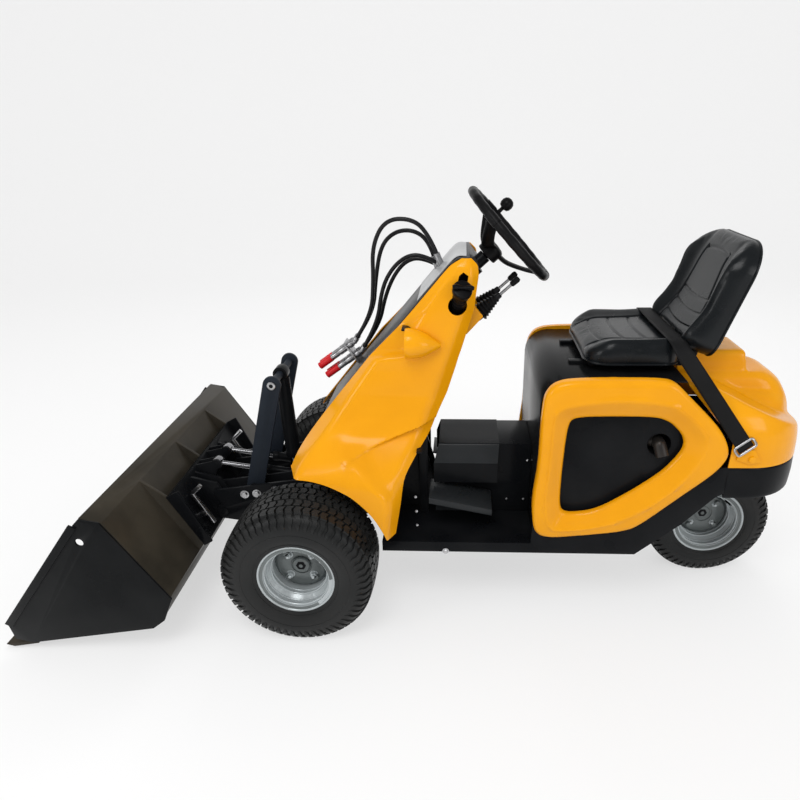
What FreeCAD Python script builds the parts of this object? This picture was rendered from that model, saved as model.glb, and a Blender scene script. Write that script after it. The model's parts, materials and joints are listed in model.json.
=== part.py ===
"""Three-wheeled ride-on mini wheel loader.

Millimetres, +X forward, +Y to the driver's left, +Z up.  Stations are first
laid out from the front axle (x = 0) and the ground (z = 0); every finished
piece is then moved so that the middle of the machine's length is x = 0.
"""
import FreeCAD
import Part
import math
import os

V = FreeCAD.Vector

# ---------------------------------------------------------------- sizes
# wheels: 18x8.50-8 in front, 16x6.50-8 behind, on 8 inch rims
front_tyre_d = 457.0
front_tyre_w = 216.0
rear_tyre_d = 406.0
rear_tyre_w = 165.0
rim_seat_r = 101.6
rim_flange_r = 114.5
rim_wall = 4.0
tyre_wall = 14.0
front_rim_w = 184.0
rear_rim_w = 146.0
front_track = 726.0
wheelbase = 1310.0
lug_pcd = 120.0
lug_hole_r = 7.0
hub_bore_r = 32.0
motor_r = 52.0
motor_shaft_r = 16.0

# fits
pin_gap = 0.08          # radial running clearance at pins and rods
side_gap = 5.0          # sideways clearance between moving plates
seat_gap = 0.3          # soft pieces and covers above what they lie on

# frame
frame_half_w = 285.0
skirt_t = 6.0
belly_z = 215.0
floor_z = 250.0
floor_t = 6.0
floor_front_x = -235.0
body_reach = 607.0       # front wall of the engine bay, ahead of the rear axle
belly_reach = 295.0      # rear end of the belly plate, ahead of the rear axle
skirt_reach = 60.0      # skirts end this far ahead of the rear axle
bumper_low_z = 418.0
bumper_high_z = 520.0
bumper_t = 16.0
tail_overhang = 190.0   # tail behind the rear axle
tail_corner_r = 190.0
axle_beam_half = 42.0
axle_beam_w = 236.0

# boom and linkage, as (x, z) stations
boom_pivot = (-300.0, 520.0)
tool_pivot = (305.0, 268.0)
upright_foot = (204.0, 340.0)
lift_top = (107.0, 705.0)
lift_base = (90.0, 270.0)
tilt_base = (-30.0, 345.0)
tilt_eye = (345.0, 400.0)
rear_tube = (-150.0, 430.0)
front_tube = (238.0, 262.0)
boom_pin_r = 15.0
pin_r = 12.0
tilt_pin_r = 9.0
plate_t = 10.0
upright_t = 12.0
upright_half_w = 28.0
arm_inner_y = 75.0
ear_inner_y = arm_inner_y + plate_t + side_gap
upright_y = 109.0
ear_outer_y = upright_y + upright_t + side_gap
arm_outer_y = ear_outer_y + plate_t + side_gap
tower_y = 48.0
tower_t = 12.0
lift_barrel_r = 24.0
lift_rod_r = 14.0
lift_eye_half = 20.0
tilt_y = 50.0
tilt_barrel_r = 15.0
tilt_rod_r = 8.0
tilt_eye_half = 13.0
tilt_run_in = 48.0      # rod travel into the barrel from rest, with room to spare

# bucket
bucket_half_w = 515.0
bucket_t = 5.0
bucket_side_t = 6.0
back_top = (500.0, 454.0)
back_low = (352.0, 205.0)
heel = (410.0, 106.0)
edge_tip = (896.0, 13.0)
edge_len = 95.0
edge_t = 12.0
coupler_half_w = 285.0
coupler_t = 10.0
coupler_top = (427.0, 398.0)
coupler_low = (333.0, 225.0)

# bodywork
panel_t = 5.0
cover_half_w = 134.0
cover_t = 4.0
deck_z = 775.0
deck_r = 75.0
deck_reach = 205.0
hood_t = 5.0

# seat and steering wheel
seat_half_w = 210.0
seat_reach = 480.0       # cushion's front edge ahead of the rear axle
seat_len = 300.0
cushion_t = 72.0
steer_centre = (-616.0, 1137.0)
steer_lean = 48.0       # degrees of the rim's plane above level
steer_r = 161.0
steer_rim_r = 14.0
hub_drop = 71.0
lever_drop = 105.0      # hand levers below the column, along the rim's plane

# derived
front_axle_z = front_tyre_d / 2
rear_axle_z = rear_tyre_d / 2
rear_x = -wheelbase
front_y = front_track / 2
floor_low = (heel[0] + 25, heel[1] - 6)
floor_end = (edge_tip[0] - edge_len + 20, edge_tip[1] + 16)
floor_slope = math.atan2(floor_end[1] - floor_low[1], floor_end[0] - floor_low[0])
front_end = floor_end[0] + (edge_len - 20) * math.cos(floor_slope) + seat_gap * math.sin(floor_slope)
tail_x = rear_x - tail_overhang
body_front_x = rear_x + body_reach
belly_rear_x = rear_x + belly_reach
deck_rear_x = rear_x + deck_reach
seat_front_x = rear_x + seat_reach
seat_rear_x = seat_front_x - seat_len
skirt_end_x = rear_x + skirt_reach
body_half_w = frame_half_w - 23
panel_out_y = frame_half_w + 13
rear_end = min(tail_x, rear_x - rear_tyre_d / 2)
shift_x = -(front_end + rear_end) / 2


# ---------------------------------------------------------------- helpers
def box(x0, x1, y0, y1, z0, z1):
    return Part.makeBox(x1 - x0, y1 - y0, z1 - z0, V(x0, y0, z0))


def mirror(shape):
    return shape.mirror(V(0, 0, 0), V(0, 1, 0))


def both(shape):
    """The shape and its twin across the middle plane, as one compound."""
    return Part.makeCompound([shape, mirror(shape)])


def fuse(*shapes):
    first = shapes[0]
    return first.multiFuse(list(shapes[1:])).removeSplitter() if len(shapes) > 1 else first


def plate(points, y0, y1):
    """A flat plate: an outline in x and z, from y0 to y1."""
    wire = Part.makePolygon([V(x, y0, z) for x, z in points + points[:1]])
    return Part.Face(wire).extrude(V(0, y1 - y0, 0))


def rod_y(centre, r, y0, y1):
    return Part.makeCylinder(r, y1 - y0, V(centre[0], y0, centre[1]), V(0, 1, 0))


def rod(a, b, r):
    a, b = V(*a), V(*b)
    return Part.makeCylinder(r, (b - a).Length, a, b - a)


def cone(a, b, r0, r1):
    a, b = V(*a), V(*b)
    return Part.makeCone(r0, r1, (b - a).Length, a, b - a)


def bar(a, b, half_w, y0, y1):
    """A flat bar with round ends between two stations in x and z."""
    dx, dz = b[0] - a[0], b[1] - a[1]
    length = math.hypot(dx, dz)
    nx, nz = -dz / length * half_w, dx / length * half_w
    mid = plate([(a[0] + nx, a[1] + nz), (b[0] + nx, b[1] + nz),
                 (b[0] - nx, b[1] - nz), (a[0] - nx, a[1] - nz)], y0, y1)
    return fuse(mid, rod_y(a, half_w, y0, y1), rod_y(b, half_w, y0, y1))


def ring_y(profile, x, z):
    """A turned piece: (radius, y) profile about a cross axle."""
    wire = Part.makePolygon([V(x + r, y, z) for r, y in profile + profile[:1]])
    return Part.Face(wire).revolve(V(x, 0, z), V(0, 1, 0), 360)


def loft(sections):
    wires = [Part.makePolygon([V(*p) for p in s + s[:1]]) for s in sections]
    return Part.makeLoft(wires, True, True)


def save(name, shape):
    shape = shape.copy()
    shape.translate(V(shift_x, 0, 0))
    if not shape.isValid():
        print("invalid", name)
    shape.exportStep("parts/%s.step" % name)
    box_ = shape.BoundBox
    print("%-22s %2d solid %9.1f cm3  x %7.1f %7.1f  y %6.1f %6.1f  z %6.1f %6.1f" % (
        name, len(shape.Solids), shape.Volume / 1000, box_.XMin, box_.XMax,
        box_.YMin, box_.YMax, box_.ZMin, box_.ZMax))


# ---------------------------------------------------------------- wheels
def tyre(x, y, z, outer_d, width):
    """Carcass from bead to bead, open towards the rim."""
    r, h = outer_d / 2, width / 2
    bead = rim_seat_r + seat_gap
    w = tyre_wall
    outside = [(bead, 0.72 * h), (rim_flange_r + 4, 0.80 * h), (r - 72, 0.97 * h), (r - 38, h),
               (r - 14, 0.93 * h), (r - 4, 0.78 * h), (r, 0.45 * h)]
    inside = [(bead, 0.72 * h - w), (r - 72, 0.97 * h - w), (r - 38, h - w), (r - 10 - w, 0.78 * h),
              (r - w, 0.40 * h)]
    path = outside + [(a, -b) for a, b in reversed(outside)]
    path += [(a, -b) for a, b in inside] + [(a, b) for a, b in reversed(inside)]
    return ring_y([(a, y + b) for a, b in path], x, z)


def rim(x, y, z, width, side, disc_y):
    """Rolled rim, dished disc and hub flange; side is the way the dish faces."""
    h = width / 2
    w = rim_wall
    seat, lip, well = rim_seat_r, rim_flange_r, rim_seat_r - 12
    outside = [(lip, -h), (lip, -h + w), (seat, -h + 9), (seat, -h + 28), (well, -h + 42),
               (well, h - 42), (seat, h - 28), (seat, h - 9), (lip, h - w), (lip, h)]
    inside = [(seat - w, h), (seat - w, h - 28), (well - w, h - 42), (well - w, -h + 42),
              (seat - w, -h + 28), (seat - w, -h)]
    barrel = ring_y([(a, y + side * b) for a, b in outside + inside], x, z)
    d = disc_y
    disc = ring_y([(a, y + side * b) for a, b in [
        (well - w + 0.5, d - 14), (well - w + 0.5, d - 10), (72, d + 4), (hub_bore_r, d + 4),
        (hub_bore_r, d), (70, d)]], x, z)
    hub = ring_y([(a, y + side * b) for a, b in [
        (motor_shaft_r + pin_gap, d - 14), (motor_shaft_r + pin_gap, d + 1), (lug_pcd / 2 + 12, d),
        (lug_pcd / 2 + 12, d - 10), (motor_r - 10, d - 14)]], x, z)
    nuts = []
    for k in range(4):
        turn = math.radians(45 + 90 * k)
        px, pz = x + lug_pcd / 2 * math.cos(turn), z + lug_pcd / 2 * math.sin(turn)
        y0, y1 = sorted((y + side * (d - 2), y + side * (d + 14)))
        nuts.append(rod_y((px, pz), 9, y0, y1))
    return fuse(barrel, disc, hub, *nuts)


disc_offset = 14.0
for name, side in (("left", 1), ("right", -1)):
    save("front_tyre_" + name, tyre(0, side * front_y, front_axle_z, front_tyre_d, front_tyre_w))
    save("front_rim_" + name, rim(0, side * front_y, front_axle_z, front_rim_w, side, disc_offset))
save("rear_tyre", tyre(rear_x, 0, rear_axle_z, rear_tyre_d, rear_tyre_w))
save("rear_rim", rim(rear_x, 0, rear_axle_z, rear_rim_w, 1, disc_offset))


# ---------------------------------------------------------------- frame
def main_frame():
    """Skirts, floor, belly plate, front rails and the boom's tower, welded up."""
    yo, yi = frame_half_w, frame_half_w - skirt_t
    skirt = plate([(floor_front_x, belly_z), (belly_rear_x, belly_z), (belly_rear_x - 126, belly_z + 110),
                   (belly_rear_x - 210, belly_z + 203), (skirt_end_x, bumper_low_z + 17),
                   (skirt_end_x, bumper_high_z), (belly_rear_x - 190, bumper_high_z - 6),
                   (belly_rear_x - 100, belly_z + 225), (belly_rear_x + 20, belly_z + 120),
                   (body_front_x + 4, belly_z + 120), (body_front_x + 8, floor_z), (floor_front_x, floor_z)],
                  yi, yo)
    floor = box(body_front_x, floor_front_x, -yi - 1, yi + 1, floor_z - floor_t, floor_z)
    belly = box(belly_rear_x, body_front_x + 1, -yi - 1, yi + 1, belly_z, belly_z + floor_t)
    step = box(body_front_x - floor_t, body_front_x, -yi - 1, yi + 1, belly_z, floor_z)
    bay_wall = box(belly_rear_x, belly_rear_x + floor_t, -yi - 1, yi + 1, belly_z, belly_z + 120)
    ty, tt = tower_y, tower_t
    px, pz = boom_pivot
    low, high = front_axle_z - axle_beam_half, front_axle_z + axle_beam_half
    rail = plate([(axle_beam_half, low), (axle_beam_half, high), (-axle_beam_half - 20, high),
                  (-185, high + 60), (px + 45, pz), (px - 45, pz), (px - 120, floor_z - 1),
                  (px - 120, belly_z), (-180, belly_z), (-axle_beam_half - 10, low)], ty, ty + tt)
    boss = rod_y(boom_pivot, 45, ty, ty + tt)
    tower = fuse(rail, boss)
    spine = box(belly_rear_x, px - 119, ty, ty + tt, belly_z, floor_z - 1)
    cross = box(px - 116, px - 104, -ty - 1, ty + 1, belly_z, floor_z + 60)
    beam_half = axle_beam_half
    beam = box(-beam_half, beam_half, -axle_beam_w, axle_beam_w, low, high)
    hollow = box(-beam_half + 8, beam_half - 8, -axle_beam_w + 10, axle_beam_w - 10, low + 8, high - 8)
    beam = beam.cut(hollow)
    bracket = bar(lift_base, (axle_beam_half - 2, front_axle_z), 24, lift_eye_half + 3, lift_eye_half + 13)
    bracket = bracket.cut(box(-60, axle_beam_half, -200, 200, 150, 300))
    cap = rod_y(lift_base, pin_r, lift_eye_half + 12, lift_eye_half + 18)
    arm_side_y = arm_outer_y + plate_t
    boom_pin = rod_y(boom_pivot, boom_pin_r, -arm_side_y - 3, arm_side_y + 3)
    pieces = [skirt, mirror(skirt), floor, belly, step, bay_wall, tower, mirror(tower), spine,
              mirror(spine), cross, beam, bracket, mirror(bracket), cap, mirror(cap), boom_pin]
    return fuse(*pieces)


save("main_frame", main_frame())


def wheel_motor():
    """Hydraulic motor in the left rim and the stub shaft that carries the hub."""
    face = front_y + disc_offset - 14 - side_gap
    body = rod_y((0, front_axle_z), motor_r, axle_beam_w, face)
    flange = rod_y((0, front_axle_z), motor_r + 16, axle_beam_w, axle_beam_w + 12)
    shaft = rod_y((0, front_axle_z), motor_shaft_r, face - 1, front_y + disc_offset + 1)
    return fuse(body, flange, shaft)


save("wheel_motors", both(wheel_motor()))


def tail_outline(half_w, front, rear, corner, z):
    """Plan outline of the tail, open to the front: straight sides, round corners."""
    pts = [(front, half_w, z)]
    steps = 5
    for k in range(steps + 1):
        a = math.radians(90 * k / steps)
        pts.append((rear + corner - corner * math.sin(a), half_w - corner + corner * math.cos(a), z))
    return pts + [(x, -y, z_) for x, y, z_ in reversed(pts)]


def bumper():
    outer = tail_outline(frame_half_w, skirt_end_x, tail_x, tail_corner_r, bumper_low_z)
    inner = tail_outline(frame_half_w - bumper_t, skirt_end_x, tail_x + bumper_t,
                         tail_corner_r - bumper_t, bumper_low_z)
    wire = Part.makePolygon([V(*p) for p in outer + inner[::-1] + outer[:1]])
    return Part.Face(wire).extrude(V(0, 0, bumper_high_z - bumper_low_z))


save("rear_bumper", bumper())

head_z = 455.0
head_t = 12.0
kingpin_r = 24.0
head_tube_r = 42.0
head_tube_top = 560.0


def steering_head():
    """Cross plate in the tail with the kingpin's bearing tube."""
    inside = frame_half_w - skirt_t
    front = box(skirt_end_x - 1, skirt_end_x + 60, -inside, inside, head_z, head_z + head_t)
    rear = box(rear_x - 80, skirt_end_x, -frame_half_w + 23, frame_half_w - 23, head_z, head_z + head_t)
    tube = rod((rear_x, 0, head_z - 12), (rear_x, 0, head_tube_top), head_tube_r)
    bore = rod((rear_x, 0, head_z - 20), (rear_x, 0, head_tube_top + 10), kingpin_r + pin_gap)
    return fuse(front, rear, tube).cut(bore).cut(bumper())


save("steering_head", steering_head())

leg_y = -rear_tyre_w / 2 - 24
leg_t = 16.0
yoke_z = rear_tyre_d + 14


def steering_knuckle():
    """Kingpin, top plate and the one leg that carries the rear wheel's motor."""
    pin = rod((rear_x, 0, yoke_z), (rear_x, 0, head_tube_top + 6), kingpin_r)
    top = box(rear_x - 52, rear_x + 52, leg_y - leg_t, 52, yoke_z, yoke_z + 14)
    leg = box(rear_x - 48, rear_x + 48, leg_y - leg_t, leg_y, rear_axle_z, yoke_z + 1)
    foot = rod_y((rear_x, rear_axle_z), 60, leg_y - leg_t, leg_y)
    face = disc_offset - 14 - side_gap
    motor = rod_y((rear_x, rear_axle_z), motor_r, leg_y - 1, face)
    shaft = rod_y((rear_x, rear_axle_z), motor_shaft_r, face - 1, disc_offset + 1)
    return fuse(pin, top, leg, foot, motor, shaft)


save("steering_knuckle", steering_knuckle())


# ---------------------------------------------------------------- boom
def arm_side():
    """Inner and outer plate of the left arm with the tubes between them."""
    px, pz = boom_pivot
    fx, fz = upright_foot
    tx, tz = tool_pivot
    outline = [(px - 10, pz + 36), (px + 60, pz - 4), (-60, 400), (75, 386), (fx + 32, fz + 21),
               (tx + 26, tz + 80), (tx + 30, tz + 66), (tx + 6, tz + 27), (tx + 10, tz - 25), (tx - 60, tz - 36),
               (fx - 60, tz - 20), (75, 300), (-60, 305), (px + 40, pz - 120), (px - 34, pz - 16)]
    shapes = []
    for y in (arm_outer_y, arm_inner_y):
        shapes.append(fuse(plate(outline, y, y + plate_t), rod_y(boom_pivot, 38, y, y + plate_t),
                           rod_y(tool_pivot, 27, y, y + plate_t)))
    shapes.append(rod_y(boom_pivot, 28, arm_inner_y, arm_outer_y + 1))
    for y0, y1 in ((arm_inner_y + 1, upright_y), (upright_y + upright_t, arm_outer_y + 1)):
        shapes.append(rod_y(upright_foot, 20, y0, y1))
    return fuse(*shapes)


def lift_arms():
    side = arm_side()
    y_in = arm_inner_y
    tubes = [rod_y(rear_tube, 24, -y_in - 1, y_in + 1), rod_y(front_tube, 16, -y_in - 1, y_in + 1),
             both(rod_y(tilt_base, pin_r, tilt_y - tilt_eye_half - 5, y_in + 4)),
             both(rod_y(tilt_base, pin_r + 10, tilt_y + tilt_eye_half + 2, y_in + 1))]
    whole = arm_outer_y + plate_t + 1
    frame = fuse(side, mirror(side), *tubes)
    frame = frame.cut(rod_y(boom_pivot, boom_pin_r + pin_gap, -whole, whole))
    return frame.cut(rod_y(tool_pivot, pin_r + pin_gap, -whole, whole))


save("lift_arms", lift_arms())


def uprights():
    """The two posts on the arms and the pin that the lift cylinder hangs on."""
    post = bar(upright_foot, lift_top, upright_half_w, upright_y, upright_y + upright_t)
    pin = rod_y(lift_top, pin_r, -upright_y - upright_t - 4, upright_y + upright_t + 4)
    return fuse(post, mirror(post), pin)


save("uprights", uprights())


# ---------------------------------------------------------------- tool coupler
def along(a, b, s, off=0.0):
    """A station at distance s from a towards b, off to the left of the line."""
    dx, dz = b[0] - a[0], b[1] - a[1]
    n = math.hypot(dx, dz)
    return (a[0] + dx / n * s - dz / n * off, a[1] + dz / n * s + dx / n * off)


def tool_coupler():
    """Wide plate that hooks the bucket, with the ears that swing on the arms."""
    length = math.hypot(coupler_top[0] - coupler_low[0], coupler_top[1] - coupler_low[1])
    face = [coupler_low, coupler_top, along(coupler_low, coupler_top, length, coupler_t),
            along(coupler_low, coupler_top, 0, coupler_t)]
    back = plate(face, -coupler_half_w, coupler_half_w)
    tx, tz = tool_pivot
    ear_pts = [along(coupler_low, coupler_top, 8, 3), along(coupler_low, coupler_top, length - 12, 3),
               (tx + 20, tz + 98), (tx - 26, tz + 10), (tx - 6, tz - 28)]
    shapes = [back]
    for y in (ear_outer_y, ear_inner_y):
        shapes.append(fuse(plate(ear_pts, y, y + plate_t), rod_y(tool_pivot, 28, y, y + plate_t)))
    shapes.append(rod_y(tool_pivot, pin_r, arm_inner_y - 3, arm_outer_y + plate_t + 3))
    lug_foot = along(coupler_low, coupler_top, length - 50, 4)
    for y in (tilt_y - tilt_eye_half - 6, tilt_y + tilt_eye_half + 1):
        lug = plate([(tilt_eye[0] - 6, tilt_eye[1] + 16), along(coupler_low, coupler_top, length - 4, 4),
                     along(coupler_low, coupler_top, 96, 4), (tilt_eye[0] - 3, tilt_eye[1] - 17)], y, y + 5)
        shapes.append(fuse(lug, rod_y(tilt_eye, 17, y, y + 5)))
    shapes.append(rod_y(tilt_eye, tilt_pin_r, tilt_y - tilt_eye_half - 9, tilt_y - tilt_eye_half - 2))
    flange_t = 8
    shapes.append(plate([along(coupler_low, coupler_top, 0, 1), along(coupler_low, coupler_top, length, 1),
                         along(coupler_low, coupler_top, length, 45), along(coupler_low, coupler_top, 0, 30)],
                        coupler_half_w - flange_t, coupler_half_w))
    side = fuse(*shapes[1:])
    return fuse(back, side, mirror(side))


save("tool_coupler", tool_coupler())


def latches():
    """Spring latch pins with handles on the back of the coupler plate."""
    solids = []
    length = math.hypot(coupler_top[0] - coupler_low[0], coupler_top[1] - coupler_low[1])
    low = along(coupler_low, coupler_top, 26, coupler_t + 14)
    high = along(coupler_low, coupler_top, length - 50, coupler_t + 14)
    grip = along(coupler_low, coupler_top, length - 38, coupler_t + 60)
    y = 200.0
    stem = rod((low[0], y, low[1]), (high[0], y, high[1]), 9)
    handle = rod((high[0], y, high[1]), (grip[0], y + 10, grip[1]), 7)
    seat = along(coupler_low, coupler_top, 70, coupler_t)
    far = along(coupler_low, coupler_top, 70, coupler_t + 14)
    guide = rod((seat[0], y, seat[1]), (far[0], y, far[1]), 12)
    return both(fuse(stem, handle, guide))


save("latch_pins", latches())


# ---------------------------------------------------------------- bucket
def bucket_shell():
    """Back, heel bend and floor rolled from one sheet, with lip and ribs."""
    t = bucket_t
    lip = (back_top[0] + 62, back_top[1] + 14)
    path = [lip, back_top, back_low, (heel[0] - 25, heel[1] + 22), (heel[0] + 25, heel[1] - 6), floor_end]
    outer = path
    inner = []
    for i, p in enumerate(path):
        a = path[max(i - 1, 0)]
        b = path[min(i + 1, len(path) - 1)]
        n = math.hypot(b[0] - a[0], b[1] - a[1])
        inner.append((p[0] - (b[1] - a[1]) / n * t, p[1] + (b[0] - a[0]) / n * t))
    sheet = plate(outer + inner[::-1], -bucket_half_w, bucket_half_w)
    ribs = []
    for y in (-coupler_half_w + 2, -6, coupler_half_w - 14):
        rib = plate([back_top, along(coupler_low, coupler_top, 196, -seat_gap),
                     along(coupler_low, coupler_top, 4, -seat_gap), back_low], y, y + 12)
        ribs.append(rib)
    return fuse(sheet, *ribs)


save("bucket_shell", bucket_shell())


def bucket_side():
    pts = [(562, 466), (back_top[0] + 6, back_top[1] + 2), (back_low[0] - 5, back_low[1] - 4),
           (heel[0] - 28, heel[1] + 18), (heel[0] + 10, heel[1] - 12), (802, 30), (852, 44), (862, 98), (578, 450)]
    side = plate(pts, bucket_half_w, bucket_half_w + bucket_side_t)
    side = side.cut(rod_y((574, 392), 12, bucket_half_w - 2, bucket_half_w + 10))
    strip = plate([(570, 440), (590, 450), (866, 104), (846, 92)], bucket_half_w + bucket_side_t - 0.5,
                  bucket_half_w + bucket_side_t + 6)
    return fuse(side, strip)


save("bucket_sides", both(bucket_side()))


def cutting_edge():
    """Hardened bar bevelled to an edge, bolted under the floor's front."""
    reach = edge_len - 20
    floor_len = math.hypot(floor_end[0] - floor_low[0], floor_end[1] - floor_low[1])
    return plate([along(floor_low, floor_end, floor_len - 30, -seat_gap),
                  along(floor_low, floor_end, floor_len + reach, -seat_gap),
                  along(floor_low, floor_end, floor_len + reach - 24, -edge_t),
                  along(floor_low, floor_end, floor_len - 30, -edge_t)], -bucket_half_w, bucket_half_w)


save("cutting_edge", cutting_edge())


# ---------------------------------------------------------------- cylinders
def cylinder(base, eye, split, barrel_r, rod_r, eye_half, base_pin, eye_pin, y, run_in):
    """Barrel from its base eye and rod with its pinned far eye, both at rest."""
    dx, dz = eye[0] - base[0], eye[1] - base[1]
    n = math.hypot(dx, dz)

    def at(s):
        return (base[0] + dx / n * s, y, base[1] + dz / n * s)
    base_r, eye_r = base_pin + 11, eye_pin + 9
    lo, hi = y - eye_half, y + eye_half
    barrel = fuse(rod(at(base_r - 6), at(split), barrel_r), rod(at(split - 20), at(split), barrel_r + 2),
                  rod_y(base, base_r, lo, hi))
    barrel = barrel.cut(rod_y(base, base_pin + pin_gap, lo - 5, hi + 5))
    barrel = barrel.cut(rod(at(base_r + 14), at(split + 5), rod_r + pin_gap))
    piston = fuse(rod(at(base_r + 18 + run_in), at(n - eye_r + 6), rod_r), rod_y(eye, eye_r, lo, hi))
    return barrel, piston


barrel_, rod_ = cylinder(lift_top, lift_base, 300.0, lift_barrel_r, lift_rod_r, lift_eye_half, pin_r, pin_r, 0.0, 4.0)
save("lift_barrel", barrel_)
save("lift_rod", rod_)
barrel_, rod_ = cylinder(tilt_base, tilt_eye, 215.0, tilt_barrel_r, tilt_rod_r, tilt_eye_half, pin_r,
                         tilt_pin_r, tilt_y, tilt_run_in)
save("tilt_barrels", both(barrel_))
save("tilt_rods", both(rod_))


# ---------------------------------------------------------------- console
# horizontal cuts of the left side panel: height, then the outer face from the
# front edge to the rear edge.  Below, the third corner is the shoulder over the
# wheel; above it the side face lies between two ridges, with a shelf at 812
cowl_cuts = [
    (300, [(38, 300), (10, 358), (-240, 358), (-258, 352), (-270, 332), (-282, 308)]),
    (400, [(38, 292), (10, 356), (-262, 356), (-276, 344), (-289, 322), (-300, 300)]),
    (440, [(38, 286), (10, 353), (-256, 352), (-273, 336), (-290, 314), (-305, 292)]),
    (480, [(38, 280), (10, 350), (-212, 350), (-240, 332), (-290, 305), (-312, 284)]),
    (510, [(30, 235), (0, 338), (-196, 338), (-228, 314), (-300, 284), (-331, 260)]),
    (540, [(12, 190), (-16, 298), (-150, 322), (-200, 290), (-320, 262), (-353, 231)]),
    (560, [(-3, 174), (-38, 264), (-120, 282), (-200, 262), (-334, 244), (-370, 208)]),
    (585, [(-22, 161), (-64, 240), (-130, 246), (-200, 236), (-350, 224), (-388, 186)]),
    (640, [(-66, 150), (-106, 218), (-180, 216), (-260, 212), (-372, 203), (-408, 170)]),
    (700, [(-115, 146), (-149, 201), (-220, 199), (-300, 196), (-396, 189), (-436, 156)]),
    (780, [(-182, 143), (-206, 187), (-270, 186), (-340, 185), (-422, 183), (-462, 150)]),
    (812, [(-208, 143), (-230, 184), (-290, 184), (-350, 183), (-434, 181), (-471, 149)]),
    (828, [(-224, 142), (-306, 155), (-345, 182), (-375, 182), (-440, 180), (-477, 148)]),
    (900, [(-296, 142), (-318, 150), (-348, 178), (-385, 178), (-466, 176), (-499, 145)]),
    (950, [(-340, 142), (-370, 172), (-395, 174), (-420, 174), (-482, 172), (-514, 142)]),
    (1057, [(-430, 141), (-452, 161), (-470, 162), (-490, 162), (-506, 160), (-527, 140)]),
    (1092, [(-468, 139), (-480, 146), (-486, 147), (-492, 147), (-498, 146), (-512, 139)]),
]
arch_r = 268.0
filler_low = (-462.0, 950.0)
filler_out = (-468.0, 968.0)
lamp_x = -326.0
lamp_z = 862.0
cover_low = (-48.0, 612.0)
cover_high = (-440.0, 1072.0)
cover_len = math.hypot(cover_high[0] - cover_low[0], cover_high[1] - cover_low[1])
wall_y = 108.0
wall_t = 6.0


def lamp():
    """Round work lamp, seated in the pod."""
    return cone((lamp_x - 62, 172, lamp_z), (lamp_x - 4, 190, lamp_z), 16, 27)


def cowl_panel():
    """Side panel of the console, flaring out over the wheel at its foot."""
    sections = []
    for z, pts in cowl_cuts:
        outer = [(x, y, z) for x, y in pts]
        inner = [(x, y - panel_t, z) for x, y in reversed(pts)]
        sections.append(outer + inner)
    skin = loft(sections)
    arch = rod_y((0, front_axle_z), arch_r, 100, 420)
    skin = skin.cut(arch)
    mouth = lamp_z
    pod = loft([[(lamp_x, 150, mouth - 48), (lamp_x, 150, mouth + 48), (lamp_x, 236, mouth + 40),
                 (lamp_x, 236, mouth - 40)],
                [(lamp_x - 95, 150, mouth - 20), (lamp_x - 95, 150, mouth + 20),
                 (lamp_x - 95, 184, mouth + 16), (lamp_x - 95, 184, mouth - 16)]])
    hole = loft([[(lamp_x + 1, 146, mouth - 42), (lamp_x + 1, 146, mouth + 42),
                  (lamp_x + 1, 230, mouth + 34), (lamp_x + 1, 230, mouth - 34)],
                 [(lamp_x - 70, 146, mouth - 22), (lamp_x - 70, 146, mouth + 22),
                  (lamp_x - 70, 196, mouth + 18), (lamp_x - 70, 196, mouth - 18)]])
    return fuse(skin, pod).cut(hole).cut(lamp())


def filler_opening():
    """Keyhole in the left panel round the filler neck."""
    return fuse(rod_y((filler_out[0] + 1, filler_out[1] - 3), 27, 100, 260),
                bar(filler_out, (-482, 1024), 15, 100, 260))


panel = cowl_panel()
save("cowl_left", panel.cut(filler_opening()))
save("cowl_right", mirror(panel))
save("work_lamps", both(lamp()))


def steering_column_raw():
    tube = rod(on_column(-hub_drop - 90), on_column(-hub_drop - 22), 20)
    head = rod(on_column(-hub_drop - 92), on_column(-hub_drop - 58), 30)
    spindle = rod(on_column(-hub_drop - 24), on_column(-hub_drop + 16), 10)
    return fuse(tube, head, spindle)


lean = math.radians(steer_lean)
axis = (-math.sin(lean), math.cos(lean))


def on_column(t):
    """A station on the steering axis, t above the rim's plane."""
    return (steer_centre[0] + axis[0] * t, 0.0, steer_centre[1] + axis[1] * t)


def slope_cover():
    """Front sheet of the console, rolled over at the top."""
    t = cover_t
    path = [cover_low, cover_high, (-466, 1092), (-500, 1094), (-526, 1060)]
    inner = [along(cover_low, cover_high, 0, t), along(cover_low, cover_high, cover_len, t),
             (-467.5, 1092 - t), (-498, 1094 - t), (-526 + t + 1, 1060)]
    return plate(path + inner[::-1], -cover_half_w, cover_half_w).cut(steering_column_raw())


save("slope_cover", slope_cover())


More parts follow.
